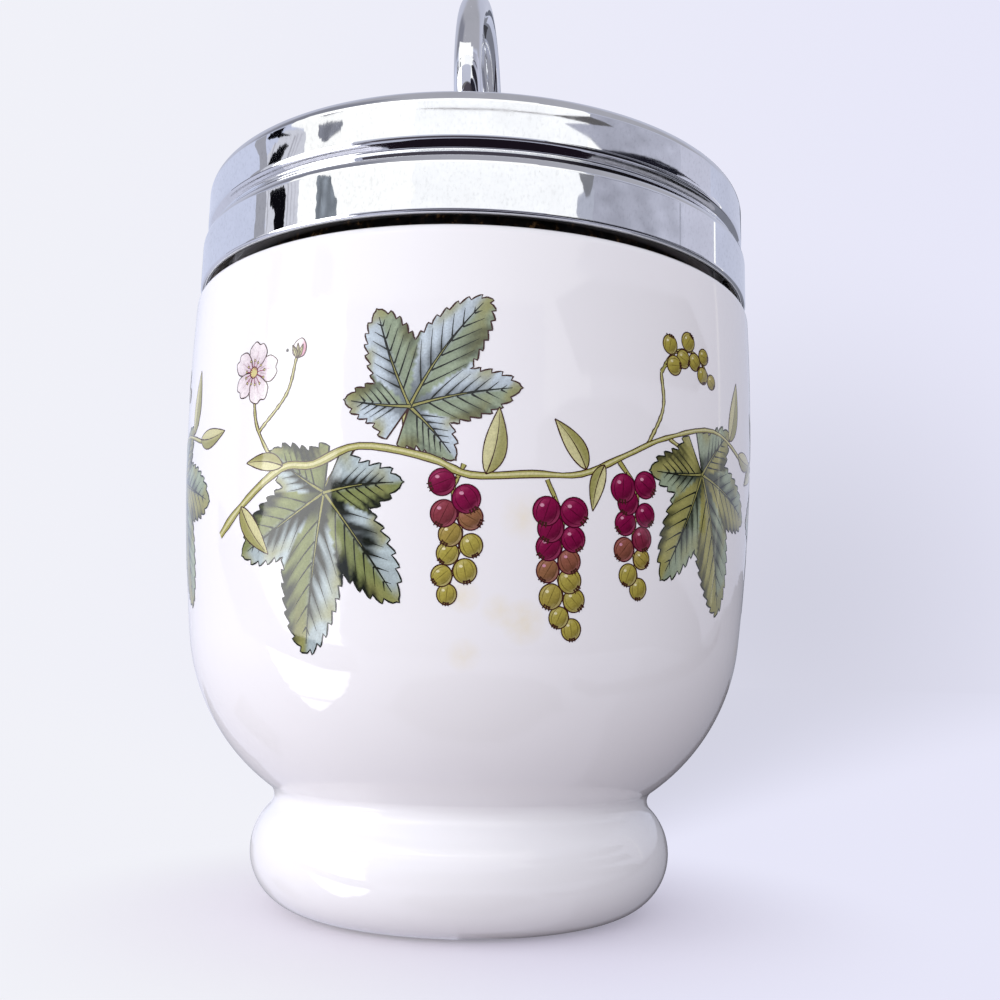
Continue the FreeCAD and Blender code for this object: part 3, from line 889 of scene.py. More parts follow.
# ---- Materials ----
class Nodes:
    """Short ways to add nodes to a tree. Values are numbers, colours or other nodes' outputs."""

    def __init__(self, tree, coordinates="Object"):
        self.tree = tree
        self.place = self.node("ShaderNodeTexCoord").outputs[coordinates]

    def node(self, kind, inputs=(), **settings):
        made = self.tree.nodes.new(kind)
        for name, value in settings.items():
            setattr(made, name, value)
        for name, value in dict(inputs).items():
            self.feed(made.inputs[name], value)
        return made

    def feed(self, socket, value):
        if isinstance(value, bpy.types.NodeSocket):
            self.tree.links.new(value, socket)
        else:
            socket.default_value = (*value, 1) if socket.type == "RGBA" else value

    def maths(self, operation, a, b=0.0):
        return self.node("ShaderNodeMath", {0: a, 1: b}, operation=operation).outputs[0]

    def opposite(self, value):
        return self.maths("SUBTRACT", 1.0, value)

    def vector(self, operation, a, b=(0, 0, 0)):
        """A vector, or the number that DISTANCE and DOT_PRODUCT give."""
        made = self.node("ShaderNodeVectorMath", {0: a, 1: b}, operation=operation)
        return made.outputs["Value" if operation in ("DISTANCE", "DOT_PRODUCT") else "Vector"]

    def part(self, axis):
        return self.node("ShaderNodeSeparateXYZ", {"Vector": self.place}).outputs[axis]

    def mapped(self, value, low, high, to_low=0.0, to_high=1.0, kind="LINEAR"):
        """value, where low..high becomes to_low..to_high and stops there."""
        inputs = {"Value": value, "From Min": low, "From Max": high, "To Min": to_low, "To Max": to_high}
        return self.node("ShaderNodeMapRange", inputs, interpolation_type=kind).outputs["Result"]

    def noise(self, scale, detail=2.0, roughness=0.5, place=None):
        inputs = {"Vector": place or self.place, "Scale": scale, "Detail": detail, "Roughness": roughness}
        return self.node("ShaderNodeTexNoise", inputs).outputs["Fac"]

    def ramp(self, value, stops):
        """A colour ramp over value. stops: (position, linear colour or grey)."""
        made = self.node("ShaderNodeValToRGB", {"Fac": value})
        elements = made.color_ramp.elements
        while len(elements) < len(stops):
            elements.new(0.5)
        for element, (position, colour) in zip(elements, stops):
            element.position = position
            element.color = (*np.broadcast_to(colour, 3), 1)
        return made.outputs["Color"]

    def blend(self, factor, a, b, kind="MIX"):
        inputs = {0: factor, 6: a, 7: b}
        return self.node("ShaderNodeMix", inputs, data_type="RGBA", blend_type=kind).outputs[2]

    def ink(self):
        return self.node("ShaderNodeVertexColor", layer_name="Ink").outputs["Color"]

    def glow(self, colour):
        return self.node("ShaderNodeEmission", {"Color": colour, "Strength": 1.0}).outputs[0]

    def background_rays(self):
        """1 for camera, glossy and transmission rays."""
        path = self.node("ShaderNodeLightPath").outputs
        seen = self.maths("MAXIMUM", path["Is Camera Ray"], path["Is Glossy Ray"])
        return self.maths("MAXIMUM", seen, path["Is Transmission Ray"])


class Finish(Nodes):
    """A material with a Principled shader, whose plain numbers are given by name."""

    def __init__(self, name, **sockets):
        self.material = bpy.data.materials.new(name)
        self.material.use_nodes = True
        super().__init__(self.material.node_tree)
        self.shader = self.tree.nodes["Principled BSDF"]
        for socket, value in sockets.items():
            self.shader.inputs[socket.replace("_", " ")].default_value = value

    def join(self, value, socket):
        self.feed(self.shader.inputs[socket], value)
        return self

    def surface(self, shader):
        self.feed(self.tree.nodes["Material Output"].inputs["Surface"], shader)

    def bump(self, heights):
        """Bumps, from (height value, millimetres) pairs."""
        normal = None
        for value, height in heights:
            inputs = {"Height": value, "Distance": height * MM, "Strength": 1.0}
            if normal:
                inputs["Normal"] = normal
            normal = self.node("ShaderNodeBump", inputs).outputs["Normal"]
        return self.join(normal, "Normal")

    def spot(self, turn, z, radius, soft):
        """1 in a round spot on the bowl, fading over its outer part. turn: degrees from the front."""
        r = float(along_side(z)[0])
        centre = towards(turn, 0) * r * MM + (0, 0, z * MM)
        away = self.vector("DISTANCE", self.place, tuple(centre))
        return self.mapped(away, radius * MM * (1 - soft), radius * MM, 1.0, 0.0)

    def height(self, low, high):
        """0 below low and 1 above high, in millimetres up the axis."""
        return self.mapped(self.part("Z"), low * MM, high * MM)

    def distance_from_axis(self):
        squares = [self.maths("MULTIPLY", self.part(axis), self.part(axis)) for axis in "XY"]
        return self.maths("SQRT", self.maths("ADD", *squares))


GLAZE = dict(Roughness=0.055, IOR=1.52)
PORCELAIN_WHITE, PORCELAIN_SHADE = (0.86, 0.86, 0.885), (0.83, 0.832, 0.86)
CHROME_WHITE, CHROME_SHADE = (0.80, 0.81, 0.835), (0.744, 0.7533, 0.77655)
TEA, SPECK, FOOT_GREY = (0.78, 0.66, 0.32), (0.05, 0.045, 0.05), (0.62, 0.58, 0.52)
TARNISH, BROWN_TARNISH = (0.34, 0.30, 0.24), (0.12, 0.075, 0.045)
# the gap under the lid: near-black painted shade, flecked with brown grime
CRUST_AND_SHADE = [(0.5, (0.003, 0.003, 0.003)), (0.6, (0.03, 0.018, 0.008)), (0.7, (0.26, 0.15, 0.06))]
# marks on the bowl: degrees from the front, height, radius, and how strong a stain is
STAINS = ((-0.6, 33.9, 1.8, 0.66), (5.2, 32.6, 1.8, 0.44), (9.5, 31.6, 2.4, 0.66), (-0.3, 28.4, 1.8, 0.44),
          (9, 41.5, 2.6, 0.44), (-3, 56.5, 2.8, 0.33), (150, 45, 3.0, 0.33), (-120, 40, 2.2, 0.33),
          (70, 30, 2.0, 0.33))
SPECKS = ((-32.8, 58.3, 0.24), (35, 61.5, 0.14), (120, 52, 0.2), (-150, 64, 0.16))
STAIN_SOFT, SPECK_SOFT = 0.9, 0.4           # the share of a mark over which it fades
# where the painted shade and grime under the lid lie
GRIME_AND_SHADE_LOW, GRIME_AND_SHADE_HIGH = (LEDGE_Z - 0.02, LEDGE_Z + 0.25), (72.6, 74.2)      # heights where it comes and goes
FOOT_WORN = (0.02, 0.12)                    # heights over which the foot's bare ring ends


def porcelain():
    """Clear glaze over white china: slow waviness, a few tea-coloured stains, painted shade under the lid
    with brown grime.

    The painted shade, near black and dull, and its brown grime go by height alone, so they ring the inside of
    the cup too.
    """
    made = Finish("porcelain_glaze", **GLAZE)
    tone = made.ramp(made.noise(28, 3), [(0.3, PORCELAIN_SHADE), (0.7, PORCELAIN_WHITE)])
    for turn, z, radius, amount in STAINS:
        blot = made.maths("MULTIPLY", made.spot(turn, z, radius, STAIN_SOFT), made.noise(900, 3))
        tone = made.blend(made.maths("MULTIPLY", blot, amount), tone, TEA)
    for turn, z, radius in SPECKS:
        tone = made.blend(made.spot(turn, z, radius, SPECK_SOFT), tone, SPECK)
    # painted shade under the lid: near black, rough and barely reflecting, with brown flecks of grime
    grime_and_shade = made.maths("MULTIPLY", made.height(*GRIME_AND_SHADE_LOW), made.opposite(made.height(*GRIME_AND_SHADE_HIGH)))
    grime_and_shade = made.maths("MULTIPLY", grime_and_shade, made.ramp(made.noise(420, 4, 0.7), [(0.3, 0.97), (0.65, 1.0)]))
    tone = made.blend(grime_and_shade, tone, made.ramp(made.noise(900, 4, 0.6), CRUST_AND_SHADE))
    foot = made.opposite(made.height(*FOOT_WORN))
    made.join(made.blend(made.maths("MULTIPLY", foot, 0.55), tone, FOOT_GREY), "Base Color")
    made.join(made.ramp(made.maths("MAXIMUM", foot, grime_and_shade), [(0.0, 0.055), (1.0, 0.6)]), "Roughness")
    made.join(made.ramp(grime_and_shade, [(0.0, 0.5), (0.6, 0.03)]), "Specular IOR Level")
    return made.bump([(made.noise(55, 1), 0.02), (made.noise(260, 2), 0.0022)])


def print_ink():
    """Fired colours under the same glaze, with the fine grain of a lithographed transfer."""
    made = Finish("print_ink", **GLAZE)
    grain = made.ramp(made.noise(5200, 2, 0.6), [(0.3, 0.78), (0.55, 1.0), (0.75, 1.12)])
    made.join(made.blend(0.8, made.ink(), grain, "MULTIPLY"), "Base Color")
    return made.bump([(made.noise(55, 1), 0.02), (made.noise(3000, 2), 0.0012)])


def plating(name, roughness, dents, orange_peel):
    """Polished plating: slow dents, fine orange peel, faint smears and small tarnish specks."""
    made = Finish(name, Metallic=1.0)
    smear = made.ramp(made.noise(140, 5, 0.65), [(0.35, CHROME_SHADE), (0.6, CHROME_WHITE)])
    speck = made.ramp(made.noise(1700, 3, 0.7), [(0.70, 0.0), (0.76, 1.0)])
    made.join(made.blend(made.maths("MULTIPLY", speck, 0.35), smear, TARNISH), "Base Color")
    made.join(made.ramp(made.noise(210, 4, 0.7), [(0.35, roughness), (0.72, roughness * 2.6)]), "Roughness")
    return made.bump([(made.noise(95, 1), dents), (made.noise(1500, 2), orange_peel)])


def dull_metal(name, colour):
    """Tinned steel, tarnished brown in patches."""
    made = Finish(name, Metallic=1.0)
    patch = made.ramp(made.noise(240, 5, 0.7), [(0.38, 0.0), (0.62, 1.0)])
    made.join(made.blend(patch, colour, BROWN_TARNISH), "Base Color")
    made.join(made.ramp(made.noise(600, 3), [(0.3, 0.42), (0.7, 0.67)]), "Roughness")
    return made.bump([(made.noise(700, 4, 0.6), 0.02)])


def dress(piece, finish, body):
    """Gives a piece its finish, in its one material slot, and the body it moves with."""
    piece.data.materials.clear()
    piece.data.materials.append(finish.material)
    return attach(piece, body)


# ---- The object ----
glaze, ink = porcelain(), print_ink()
sheet_plating = plating("sheet_plating", 0.012, 0.004, 0.00008)
wire_plating = plating("wire_plating", 0.03, 0.01, 0.0003)
stud_plating = plating("stud_plating", 0.04, 0.004, 0.0003)
inner_metal = dull_metal("inner_metal", (0.50, 0.48, 0.45))

cup = dress(turned("glazed_cup", cup_outline()), glaze, "cup")
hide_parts("cup")
dress(printed_band("printed_band"), ink, "cup")
for count, start in enumerate(THREAD_STARTS):
    dress(helix_ridge(f"neck_thread_{count}", start=start, **NECK_RIDGE), glaze, "cup")

lid = dress(turned("lid_sheet", lid_outline()), sheet_plating, "lid")
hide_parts("lid_shell")
band = dress(turned("inner_band", band_outline(), 192), inner_metal, "lid")
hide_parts("thread_band")
for count, start in enumerate(THREAD_STARTS):
    dress(helix_ridge(f"band_thread_{count}", start=start, **BAND_RIDGE), inner_metal, "lid")
ring = dress(ring_mesh("wire_ring"), wire_plating, "lid")
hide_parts("lifting_ring")
stud = dress(turned("ring_stud_turned", stud_outline(), 128), stud_plating, "lid")
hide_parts("ring_stud")
washer = dress(turned("washer_turned", washer_outline(), 128), inner_metal, "lid_riser")
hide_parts("backing_washer")


# ---- Stage, light and camera ----
RIGHT = tuple(towards(90, 0))
# the backdrop is darker and bluer to the right: a painted shade
BACKDROP_LEFT, BACKDROP_RIGHT = (0.88, 0.885, 0.94), (0.80, 0.80, 0.945)
BACKDROP_SPAN = 0.5             # how far along RIGHT, each way, the backdrop changes
# a soft painted shadow on the backdrop, to the right of the object
PAINTED_SHADOW_TURN, PAINTED_SHADOW_RISE = 164.0, 3.5       # the middle of a softly shaded part of the backdrop, in degrees
PAINTED_SHADOW_REACH, PAINTED_SHADOW_LEVEL = 0.34, 0.79
AMBIENT_LEVEL, AMBIENT_ABOVE = (0.665, 0.665, 0.73), (0.55, 0.55, 0.605)
FLOOR_TONE, FLOOR_WEAVE = (0.84, 0.785, 0.88), 0.97
# painted light: what rays lighting the object see in the floor, a glow further out, darker to the right
# beside the foot as painted shade on the object
PAINTED_BOUNCE = (0.54, 0.485, 0.525)         # what the floor throws back, then the same beside the foot
PAINTED_BOUNCE_LEFT, PAINTED_BOUNCE_RIGHT = (0.78, 0.71, 0.76), (0.25, 0.225, 0.26)
BOUNCE_FAR, BOUNCE_NEAR, BOUNCE_SPAN = 0.12, 0.06, 0.05     # metres
FLOOR_NEAR, FLOOR_FAR = 0.0, 0.056          # metres from the axis over which the floor turns into backdrop
FLOOR_RADIUS, FLOOR_DROP = 4.0, 0.0002      # metres
SKY_DISTANCE = 1000.0
SKY_CENTRE_Z = 60.0
SKY_SAG = 0.00021               # shapes in the sky sag sideways, in degrees per square degree
MOTTLE_FULL, MOTTLE_FADED, MOTTLE_LEAST = 0.5, 0.75, 0.15   # metres up the sky, and how little is left there
FLATNESS, RAGGED_STEP = (1, 4), 0.8         # a degree of rise counts as four of turn
LAVENDER, SHADE, FAR_SHADE = (0.70, 0.745, 0.93), (0.50, 0.51, 0.61), (0.66, 0.67, 0.80)
CEILING, BLACK = (0.46, 0.46, 0.51), (0.004, 0.004, 0.006)
BRIGHT, HAZE, WINDOW = (1.33, 1.33, 1.30), (1.25, 1.26, 1.27), (4.5, 4.5, 4.5)
# lamps: name, turn and rise in degrees, distance, width and height in metres, power
LAMPS = (("window", -76, 11, 0.75, 0.5, 0.42, 2.5), ("front", -14, 13, 0.9, 0.9, 0.6, 3.65))


def backdrop(nodes):
    """The pale background, with a painted shade to the right of the camera and a soft painted shadow in one
    patch.
    """
    way = nodes.vector("NORMALIZE", nodes.place)
    side = nodes.vector("DOT_PRODUCT", way, RIGHT)
    share = nodes.mapped(side, -BACKDROP_SPAN, BACKDROP_SPAN, kind="SMOOTHSTEP")
    away = nodes.vector("DISTANCE", way, tuple(towards(PAINTED_SHADOW_TURN, PAINTED_SHADOW_RISE)))
    painted_shadow = nodes.mapped(away, 0.0, PAINTED_SHADOW_REACH, PAINTED_SHADOW_LEVEL, kind="SMOOTHSTEP")
    return nodes.blend(1.0, nodes.blend(share, BACKDROP_LEFT, BACKDROP_RIGHT), painted_shadow, "MULTIPLY")


def make_world():
    world = bpy.data.worlds.new("studio")
    bpy.context.scene.world = world
    world.use_nodes = True
    nodes = Nodes(world.node_tree, "Generated")
    ambient = nodes.blend(nodes.part("Z"), AMBIENT_LEVEL, AMBIENT_ABOVE)
    colour = nodes.blend(nodes.background_rays(), ambient, backdrop(nodes))
    nodes.feed(nodes.tree.nodes["Background"].inputs["Color"], colour)


def make_floor():
    """Pale and matt by the object, fading into the backdrop's own colour further out."""
    bpy.ops.mesh.primitive_circle_add(
        vertices=128, radius=FLOOR_RADIUS, fill_type="NGON", location=(0, 0, -FLOOR_DROP))
    floor = bpy.context.object
    floor.name = "floor"
    made = Finish("floor_matt", Roughness=0.9, Specular_IOR_Level=0.1)
    seen, from_axis = made.background_rays(), made.distance_from_axis()
    weave = made.blend(made.noise(2500, 3), [FLOOR_WEAVE * c for c in FLOOR_TONE], FLOOR_TONE)
    # rays that light the object see painted bounce light, not the floor's tone: it glows past FLOOR_FAR and
    # is darker to the right, a painted shade on the object's right
    share = made.mapped(made.vector("DOT_PRODUCT", made.place, RIGHT), -BOUNCE_SPAN, BOUNCE_SPAN)
    near = made.mapped(from_axis, BOUNCE_FAR, BOUNCE_NEAR)
    painted_bounce = made.blend(near, PAINTED_BOUNCE, made.blend(share, PAINTED_BOUNCE_LEFT, PAINTED_BOUNCE_RIGHT))
    made.join(made.blend(seen, painted_bounce, weave), "Base Color")
    far = made.mapped(from_axis, FLOOR_NEAR, FLOOR_FAR, kind="SMOOTHSTEP")
    glow = made.glow(made.blend(seen, painted_bounce, backdrop(made)))
    made.surface(made.node("ShaderNodeMixShader", {0: far, 1: made.shader.outputs[0], 2: glow}).outputs[0])
    floor.data.materials.append(made.material)
    floor.visible_glossy = False


def box(left, right, low, high):
    """The corners of a rectangle."""
    return [(left, low), (right, low), (right, high), (left, high)]


def ragged(outline, amount, seed, pitch=4.0):
    """The same closed outline in short steps, with its edges wandering by up to amount."""
    closed = np.array([*outline, outline[0]], float)
    places = []
    for a, b in zip(closed, closed[1:]):
        count = max(2, math.ceil(np.hypot(*((b - a) * FLATNESS)) / RAGGED_STEP))
        places += [a + (b - a) * i / count for i in range(count)]
    places = np.array(places)
    stray = wave(places * FLATNESS, seed, pitch), 0.2 * wave(places, seed + 1, pitch)
    return places + amount * np.stack(stray, 1)


# thin shapes in the upper flank of the lid's groove, as (from, to, first turn, last turn, tone): degrees
# below what the camera sees mirrored at a place FLANK_START millimetres down that flank
FLANK_START = 0.09
FLANK_LINES = ((-0.1, 0.5, 43, 114, 0.42), (-0.05, 0.15, 44, 110, 0.005), (0.22, 0.25, 44, 92, 0.08),
               (0.3, 0.36, 44, 112, 0.03), (-0.55, 0.6, -90, -46, 1.1), (0.02, 0.10, -118, -46, 0.10),
               (0.17, 0.2, -100, -44, 0.42), (0.27, 0.34, -112, -43, 0.22))


def seen_in_flank(turns):
    """The rise of the sky that the camera sees mirrored in the groove's upper flank, at turns in degrees."""
    down = unit(np.array((-GROOVE_DEPTH, GROOVE_Z - GROOVE_TOP_Z)))
    normal = left_of(down)
    bend = GROOVE_LIP * math.tan(math.acos(-down[1]) / 2)
    r, z = (CAP_BAND_R - SHEET / 2, GROOVE_TOP_Z) + down * (bend + FLANK_START) + normal * SHEET / 2
    around = rays(np.linspace(0, math.pi / 2, 400))
    places = np.column_stack((around * r, np.full(len(around), z)))
    normals = np.column_stack((around * normal[0], np.full(len(around), normal[1])))
    sight = places - (CAMERA_DISTANCE, 0, CAMERA_HEIGHT)
    way = sight - 2 * (sight * normals).sum(1, keepdims=True) * normals
    way /= np.linalg.norm(way, axis=1, keepdims=True)
    start = places - (0, 0, SKY_CENTRE_Z)
    along = (start * way).sum(1)
    length = np.sqrt(along ** 2 + SKY_DISTANCE ** 2 - (start ** 2).sum(1)) - along
    x, y, rise = (start + way * length[:, None]).T
    return np.interp(turns, np.degrees(np.arctan2(y, x)), np.degrees(np.arcsin(rise / SKY_DISTANCE)))


def painted_sky():
    """What the studio looks like in the plating, as (turn from the front, rise) in degrees: windows, pale
    walls, a dark door and a curtain, all a little out of shape."""
    sky = Drawing()

    def ground(points):
        turn, rise = points[:, 0], points[:, 1]
        made = mix(LAVENDER, (0.62, 0.65, 0.80), smooth(90, 125, turn))
        beam = smooth(-122, -98, turn) * smooth(-40, -58, turn) * smooth(66, 56, rise)
        above = mix(CEILING, (0.27, 0.275, 0.33), beam)
        above = mix(above, (0.58, 0.60, 0.72), smooth(100, 128, abs(turn)) * smooth(74, 58, rise))
        made = mix(made, above, smooth(37, 39, rise + 0.0005 * np.minimum(abs(turn), 100) ** 2))
        low = mix((0.66, 0.68, 0.83), (0.50, 0.51, 0.62), smooth(-60, -20, turn))
        return mix(made, low, smooth(8, -6, rise))

    def clouded(tone, depth, seed, pitch):
        return lambda points: np.array(tone) * (1 + depth * wave(points * (1, 9), seed, pitch))[:, None]

    def side_wall(points):
        return clouded(SHADE, 0.15, 77, 11)(points) * (0.93 + 0.27 * smooth(60, 92, points[:, 0]))[:, None]

    def dark_lip(points):
        return np.array((0.09, 0.08, 0.10)) * (1 - 0.9 * smooth(12, 50, points[:, 0]))[:, None]

    def add(outline, tone, wander=0.0, seed=0, pitch=4.0, grain=None):
        sky.add(ragged(outline, wander, seed, pitch), tone, grain)

    add(box(-179.99, 179.99, -88, 89), ground, grain=4.0)
    add(box(44, 96, -3, 34), side_wall, 1.0, 5, grain=0.6)
    add(box(90, 111.4, -3, 34), FAR_SHADE, grain=4.0)
    add(box(87.5, 88.3, -3, 26), (0.44, 0.45, 0.54))
    add(box(111.4, 112.7, -3, 26.2), BRIGHT)
    for left, right, low, high, tone in ((158, 174, -3, 25, 0.26), (-176, -160, -3, 29, 0.40),
                                         (-179, -146, -27, -9, 0.36), (-128, -112, -40, -24, 0.42)):
        add(box(left, right, low, high), (tone, tone * 1.03, tone * 1.2), 0.6, int(abs(left)))
    add([(148, 31), (156, 37.5), (172, 36), (174, 31), (160, 28)], (0.15, 0.16, 0.20), 0.5, 33)
    add(box(-74, 44, -3, 38), BRIGHT, 0.6, 6, grain=4.0)
    add(box(-80, 25, 37, 42), BRIGHT, 0.6, 8)
    add([(43.5, 27.95), (50.5, 27.3), (52, 26.8), (43.5, 26.8)], BRIGHT)
    add(box(-25, 43, -3, 33), HAZE, 1.0, 9, grain=4.0)
    # the ragged end of the bright wall, right of the front
    add([(33.5, 28.4), (45, 27.85), (45, 28.62), (40, 28.54)], SHADE)
    add([(38.5, 24.0), (40, 23.4), (45, 23.4), (46, 25.2), (44, 25.3), (41.5, 25.1), (39, 24.8)],
        (0.54, 0.56, 0.66), 0.4, 3, 3)
    add([(39, 26.1), (46, 26.2), (45, 25.7), (44, 25.0), (42.5, 24.9), (41, 25.5), (40, 25.8)],
        (0.26, 0.265, 0.29), 0.6, 7, 3)
    add([(27, 28.74), (36, 28.84), (44, 29.0), (50, 28.9), (55, 28.76), (46, 28.62), (36, 28.67)],
        (0.14, 0.135, 0.14))
    add([(-26, 28.75), (-14, 28.78), (6, 28.77), (30, 28.76), (30, 28.72), (4, 28.7), (-14, 28.71)],
        (0.2, 0.17, 0.19))
    add([(-81, 28.98), (-73, 28.6), (-73, 38), (-84, 38)], BRIGHT)
    # the dark door and the pale frames beside it
    add([(-98, -3), (-91.5, -3), (-91.5, 25.6), (-94.5, 28.0), (-96, 28.7), (-92, 30.5), (-84, 33),
         (-88, 33.5), (-98, 30.2), (-103.5, 28.9), (-99.5, 28.2), (-98, 25.9)], (0.42, 0.425, 0.48), 0.3, 12)
    add([(-91.5, -3), (-74, -3), (-74, 25.5), (-73, 28.5), (-76, 28.7), (-80, 28.8), (-84, 28.9),
         (-94.5, 28.0), (-91.5, 25.6)], (0.78, 0.79, 0.87), 0.3, 13)
    bar = ((-0.35, -3), (0.35, -3), (0.2, 25.8), (-2.5, 27.4), (1.2, 28.45), (0.4, 28.5), (-3.4, 27.4),
           (-0.3, 25.8))
    for turn, tone in ((-79.3, 0.52), (-77.6, 0.62), (-75.8, 0.66), (-90.4, 0.55)):
        add([(turn + x, rise) for x, rise in bar], (tone, tone, tone * 1.12), 0.2, int(-turn))
    add([(-86.5, 18), (-80.6, 18), (-80.7, 24.5), (-80.5, 25.6), (-82, 25.97), (-90, 25.87), (-89, 25.5),
         (-89.5, 25.2), (-87, 24.9), (-86, 24.5), (-86.6, 24.0), (-86, 23.7), (-91, 23.6), (-87, 22.5)],
        BLACK, 0.4, 21, 1.2)
    add([(-95, 27.3), (-92, 27.75), (-91, 27.95), (-88.5, 28.05), (-87, 28.2), (-83.5, 28.2), (-81.5, 28.08),
         (-84, 27.85), (-85, 27.6), (-87, 27.2)], BLACK, 0.4, 22, 1.2)
    add([(-95, 28.88), (-93, 29.06), (-88, 29.15), (-82.5, 29.3), (-85, 28.98), (-86.5, 28.86), (-84, 28.72),
         (-80.5, 28.53), (-84, 28.6), (-88, 28.68), (-92, 28.74)], BLACK, 0.25, 23, 1.2)
    # the curtain in the window
    add([(-65, 18), (-55.5, 18), (-55.8, 24.6), (-58, 25.1), (-58.8, 25.8), (-65.3, 26.0)],
        clouded((0.27, 0.30, 0.34), 0.35, 61, 5), 0.35, 31, 2, grain=0.8)
    add([(-67, 28.64), (-63, 28.66), (-56, 28.6), (-55.5, 28.3), (-57, 28.05), (-60, 27.9), (-63, 27.68),
         (-65, 27.75), (-67, 28.1)], clouded((0.28, 0.29, 0.34), 0.25, 62, 5), 0.35, 32, 2, grain=0.8)
    add([(-67, 29.12), (-62, 29.3), (-56, 29.25), (-55, 29.1), (-60, 29.03), (-64, 29.0)], (0.33, 0.33, 0.37))
    # what only the glaze and the ring show: window light low down and high up, and a grey wall low in front
    add(box(-60, 26, -3, 20), (0.66, 0.68, 0.80), 1.0, 40, 9)
    add([(-84, 20.5), (-84, -18), (-81, -30), (-79, -37), (-76, -43), (-66, -41.5), (-55, -38), (-49, -31),
         (-49, 20.5)], WINDOW, 1.1, 41, 9, grain=4.0)
    add([(-72, 29.9), (-66, 34), (-55, 36.6), (-31, 36.8), (-24, 32), (24, 31.6), (38, 30.2), (24, 30.4),
         (-30, 30.1), (-50, 29.8)], WINDOW, 0.3, 42, 7)
    # dark mouldings to the right, in the curled edge and the lip of the groove
    add([(30, 20.5), (44, 22.9), (92, 22.7), (104, 19), (96, 15), (40, 13.5)], (0.03, 0.03, 0.04))
    add([(24, 8), (37, 11), (60, 12), (100, 9), (104, 2), (60, 0), (40, -5), (24, -3)], (0.02, 0.02, 0.03),
        0.6, 45)
    add([(-52, 2.5), (24, 4), (24, -1.5), (-52, -0.5)], (0.2, 0.19, 0.2))
    add([(45, 26.6), (50, 27.44), (58, 27.6), (66, 27.7), (77, 27.79), (86, 27.76), (94, 27.66), (104, 27.6),
         (94, 27.6), (88, 27.5), (84, 26.9), (70, 26.6)], (0.012, 0.012, 0.02), 0.1, 48, 3)
    add([(74, 27.64), (80, 27.68), (86, 27.68), (80, 27.63)], (0.20, 0.21, 0.26))
    # the floor to the right, then the dark mat in front and its frayed ends in the groove
    add([(74, -14), (110, -6), (150, 4), (179.9, 4), (179.9, -66), (100, -56), (74, -44)], (0.24, 0.25, 0.30),
        1.0, 46)
    add([(150, -6), (168, -2), (176, -20), (176, -60), (164, -62), (156, -30)], (0.06, 0.06, 0.07), 1.0, 47)
    for low, high, first, last, tone in FLANK_LINES:
        turns = np.linspace(first, last, 60)
        middle = seen_in_flank(abs(turns)) - (low + high) / 2
        half = (high - low) / 2 * np.sin(math.pi * np.linspace(0, 1, 60)) ** 0.35
        lower, upper = (np.stack((turns, middle + side * half), 1) for side in (-1, 1))
        add(np.concatenate((lower, upper[::-1])), (tone, tone, tone * 1.15))
    add([(-57, -43.0), (-50, -44.9), (-44, -46.4), (-38, -47.3), (-33, -44), (-26, -36), (0, -32), (30, -33),
         (42, -36), (50, -44.6), (56, -43.2), (54, -44.15), (49, -46.2), (44, -48.6), (40, -58), (30, -66),
         (0, -68), (-24, -64), (-36, -53), (-40, -48.4), (-44, -46.85), (-50, -45.2)], (0.012, 0.008, 0.014))
    add([(46, -30), (60, -31), (86, -20), (104, -10), (124, -3), (106, -16), (86, -27), (60, -37), (48, -35)],
        (0.02, 0.015, 0.02), 0.1, 52)
    add([(-50, -12), (-38, -2), (0, 3), (40, 3), (78, -2), (104, -5), (114, -8.5), (104, -12), (78, -12),
         (44, -20), (0, -25), (-40, -22)], dark_lip, 0.1, 53, grain=3.0)
    add([(-44, -31), (-60, -27), (-85, -14), (-112, 0), (-112, 5), (-85, -5), (-60, -15), (-44, -19)],
        (0.2, 0.2, 0.25), 0.1, 54)
    return sky


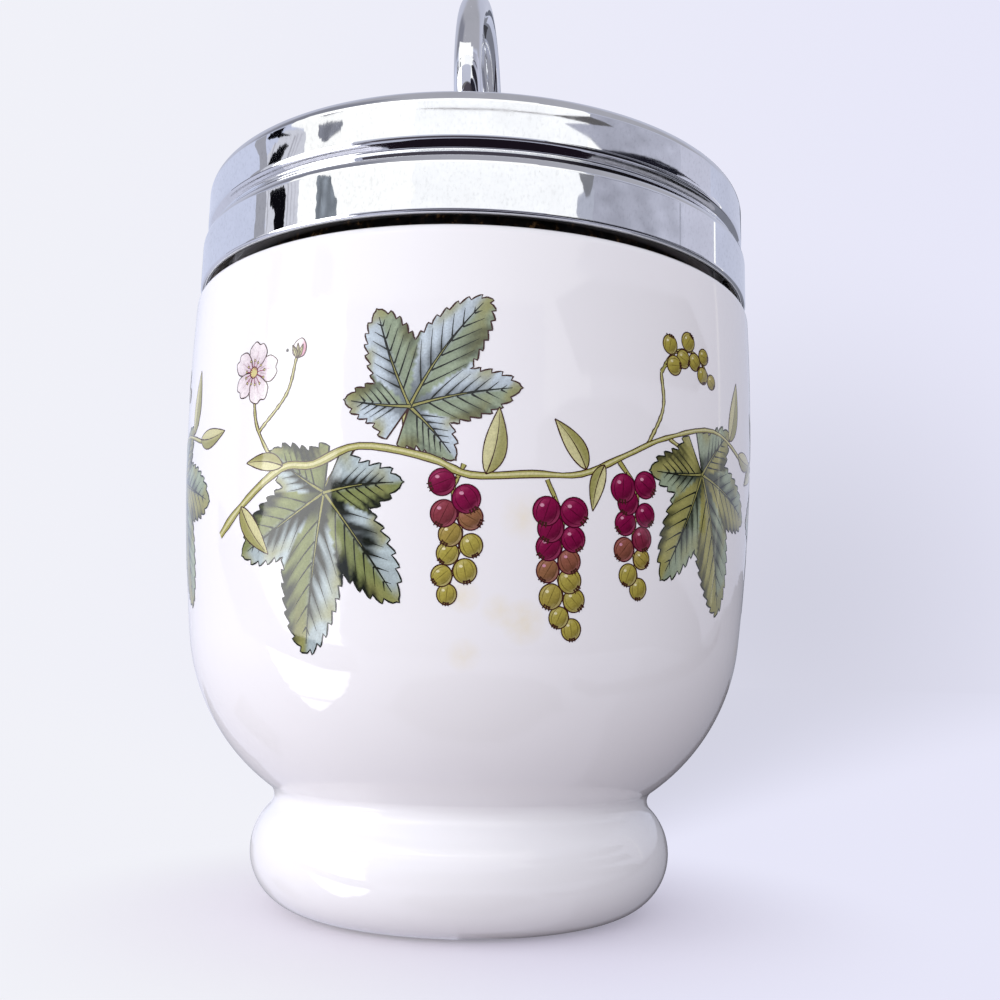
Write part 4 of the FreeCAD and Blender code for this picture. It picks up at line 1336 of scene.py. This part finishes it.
def make_sky():
    """The painted sky as a dome that only glossy surfaces show."""
    flat, faces, colours = painted_sky().meshed()
    turn, rise = flat.T
    rise = rise - SKY_SAG * turn ** 2 * smooth(0, 15, rise) * smooth(60, 30, rise)
    dome = inked("sky", towards(turn, rise) * SKY_DISTANCE + (0, 0, SKY_CENTRE_Z), faces, colours)
    made = Finish("sky")
    made.material.cycles.emission_sampling = "NONE"
    made.tree.nodes.remove(made.shader)
    mottle = made.noise(50.0, 5.0, 0.7, made.vector("MULTIPLY", made.place, (1, 1, 7)))
    mottle = made.ramp(mottle, [(0.36, 0.86), (0.46, 0.985), (0.7, 1.02)])
    level = made.mapped(made.part("Z"), MOTTLE_FADED, MOTTLE_FULL, MOTTLE_LEAST)
    made.surface(made.glow(made.blend(level, made.ink(), mottle, "MULTIPLY")))
    dome.data.materials.append(made.material)
    dome.visible_camera = dome.visible_diffuse = dome.visible_shadow = dome.visible_transmission = False


def make_lights():
    for name, turn, rise, distance, width, height, power in LAMPS:
        lamp = bpy.data.lights.new(name, "AREA")
        lamp.shape, lamp.size, lamp.size_y, lamp.energy = "RECTANGLE", width, height, power
        light = linked(name, lamp)
        way = Vector(towards(turn, rise))
        light.location = Vector((0, 0, SKY_CENTRE_Z * MM)) + way * distance
        light.rotation_euler = way.to_track_quat("Z", "Y").to_euler()
        light.visible_glossy = False


def make_camera():
    yaw, pitch, roll = (math.radians(a) for a in (CAMERA_YAW, CAMERA_PITCH, CAMERA_ROLL))
    ahead = Vector((math.sin(yaw) * math.cos(pitch), math.cos(yaw) * math.cos(pitch), math.sin(pitch)))
    right = Vector((math.cos(yaw), -math.sin(yaw), 0))
    up = right.cross(ahead)
    right, up = (right * math.cos(roll) + up * math.sin(roll), up * math.cos(roll) - right * math.sin(roll))
    facing = Matrix((right, up, -ahead)).transposed().to_4x4()
    place = Matrix.Translation((0, -CAMERA_DISTANCE * MM, CAMERA_HEIGHT * MM))
    lens = bpy.data.cameras.new("camera")
    lens.lens, lens.sensor_width = CAMERA_LENS, SENSOR_WIDTH
    lens.clip_start, lens.clip_end = CLIP_START, CLIP_END
    camera = linked("camera", lens)
    camera.matrix_world = Matrix.Rotation(math.radians(CAMERA_AZIMUTH), 4, "Z") @ place @ facing
    bpy.context.scene.camera = camera


make_world()
make_floor()
make_sky()
make_lights()
make_camera()
bpy.context.scene.view_settings.view_transform = "Standard"
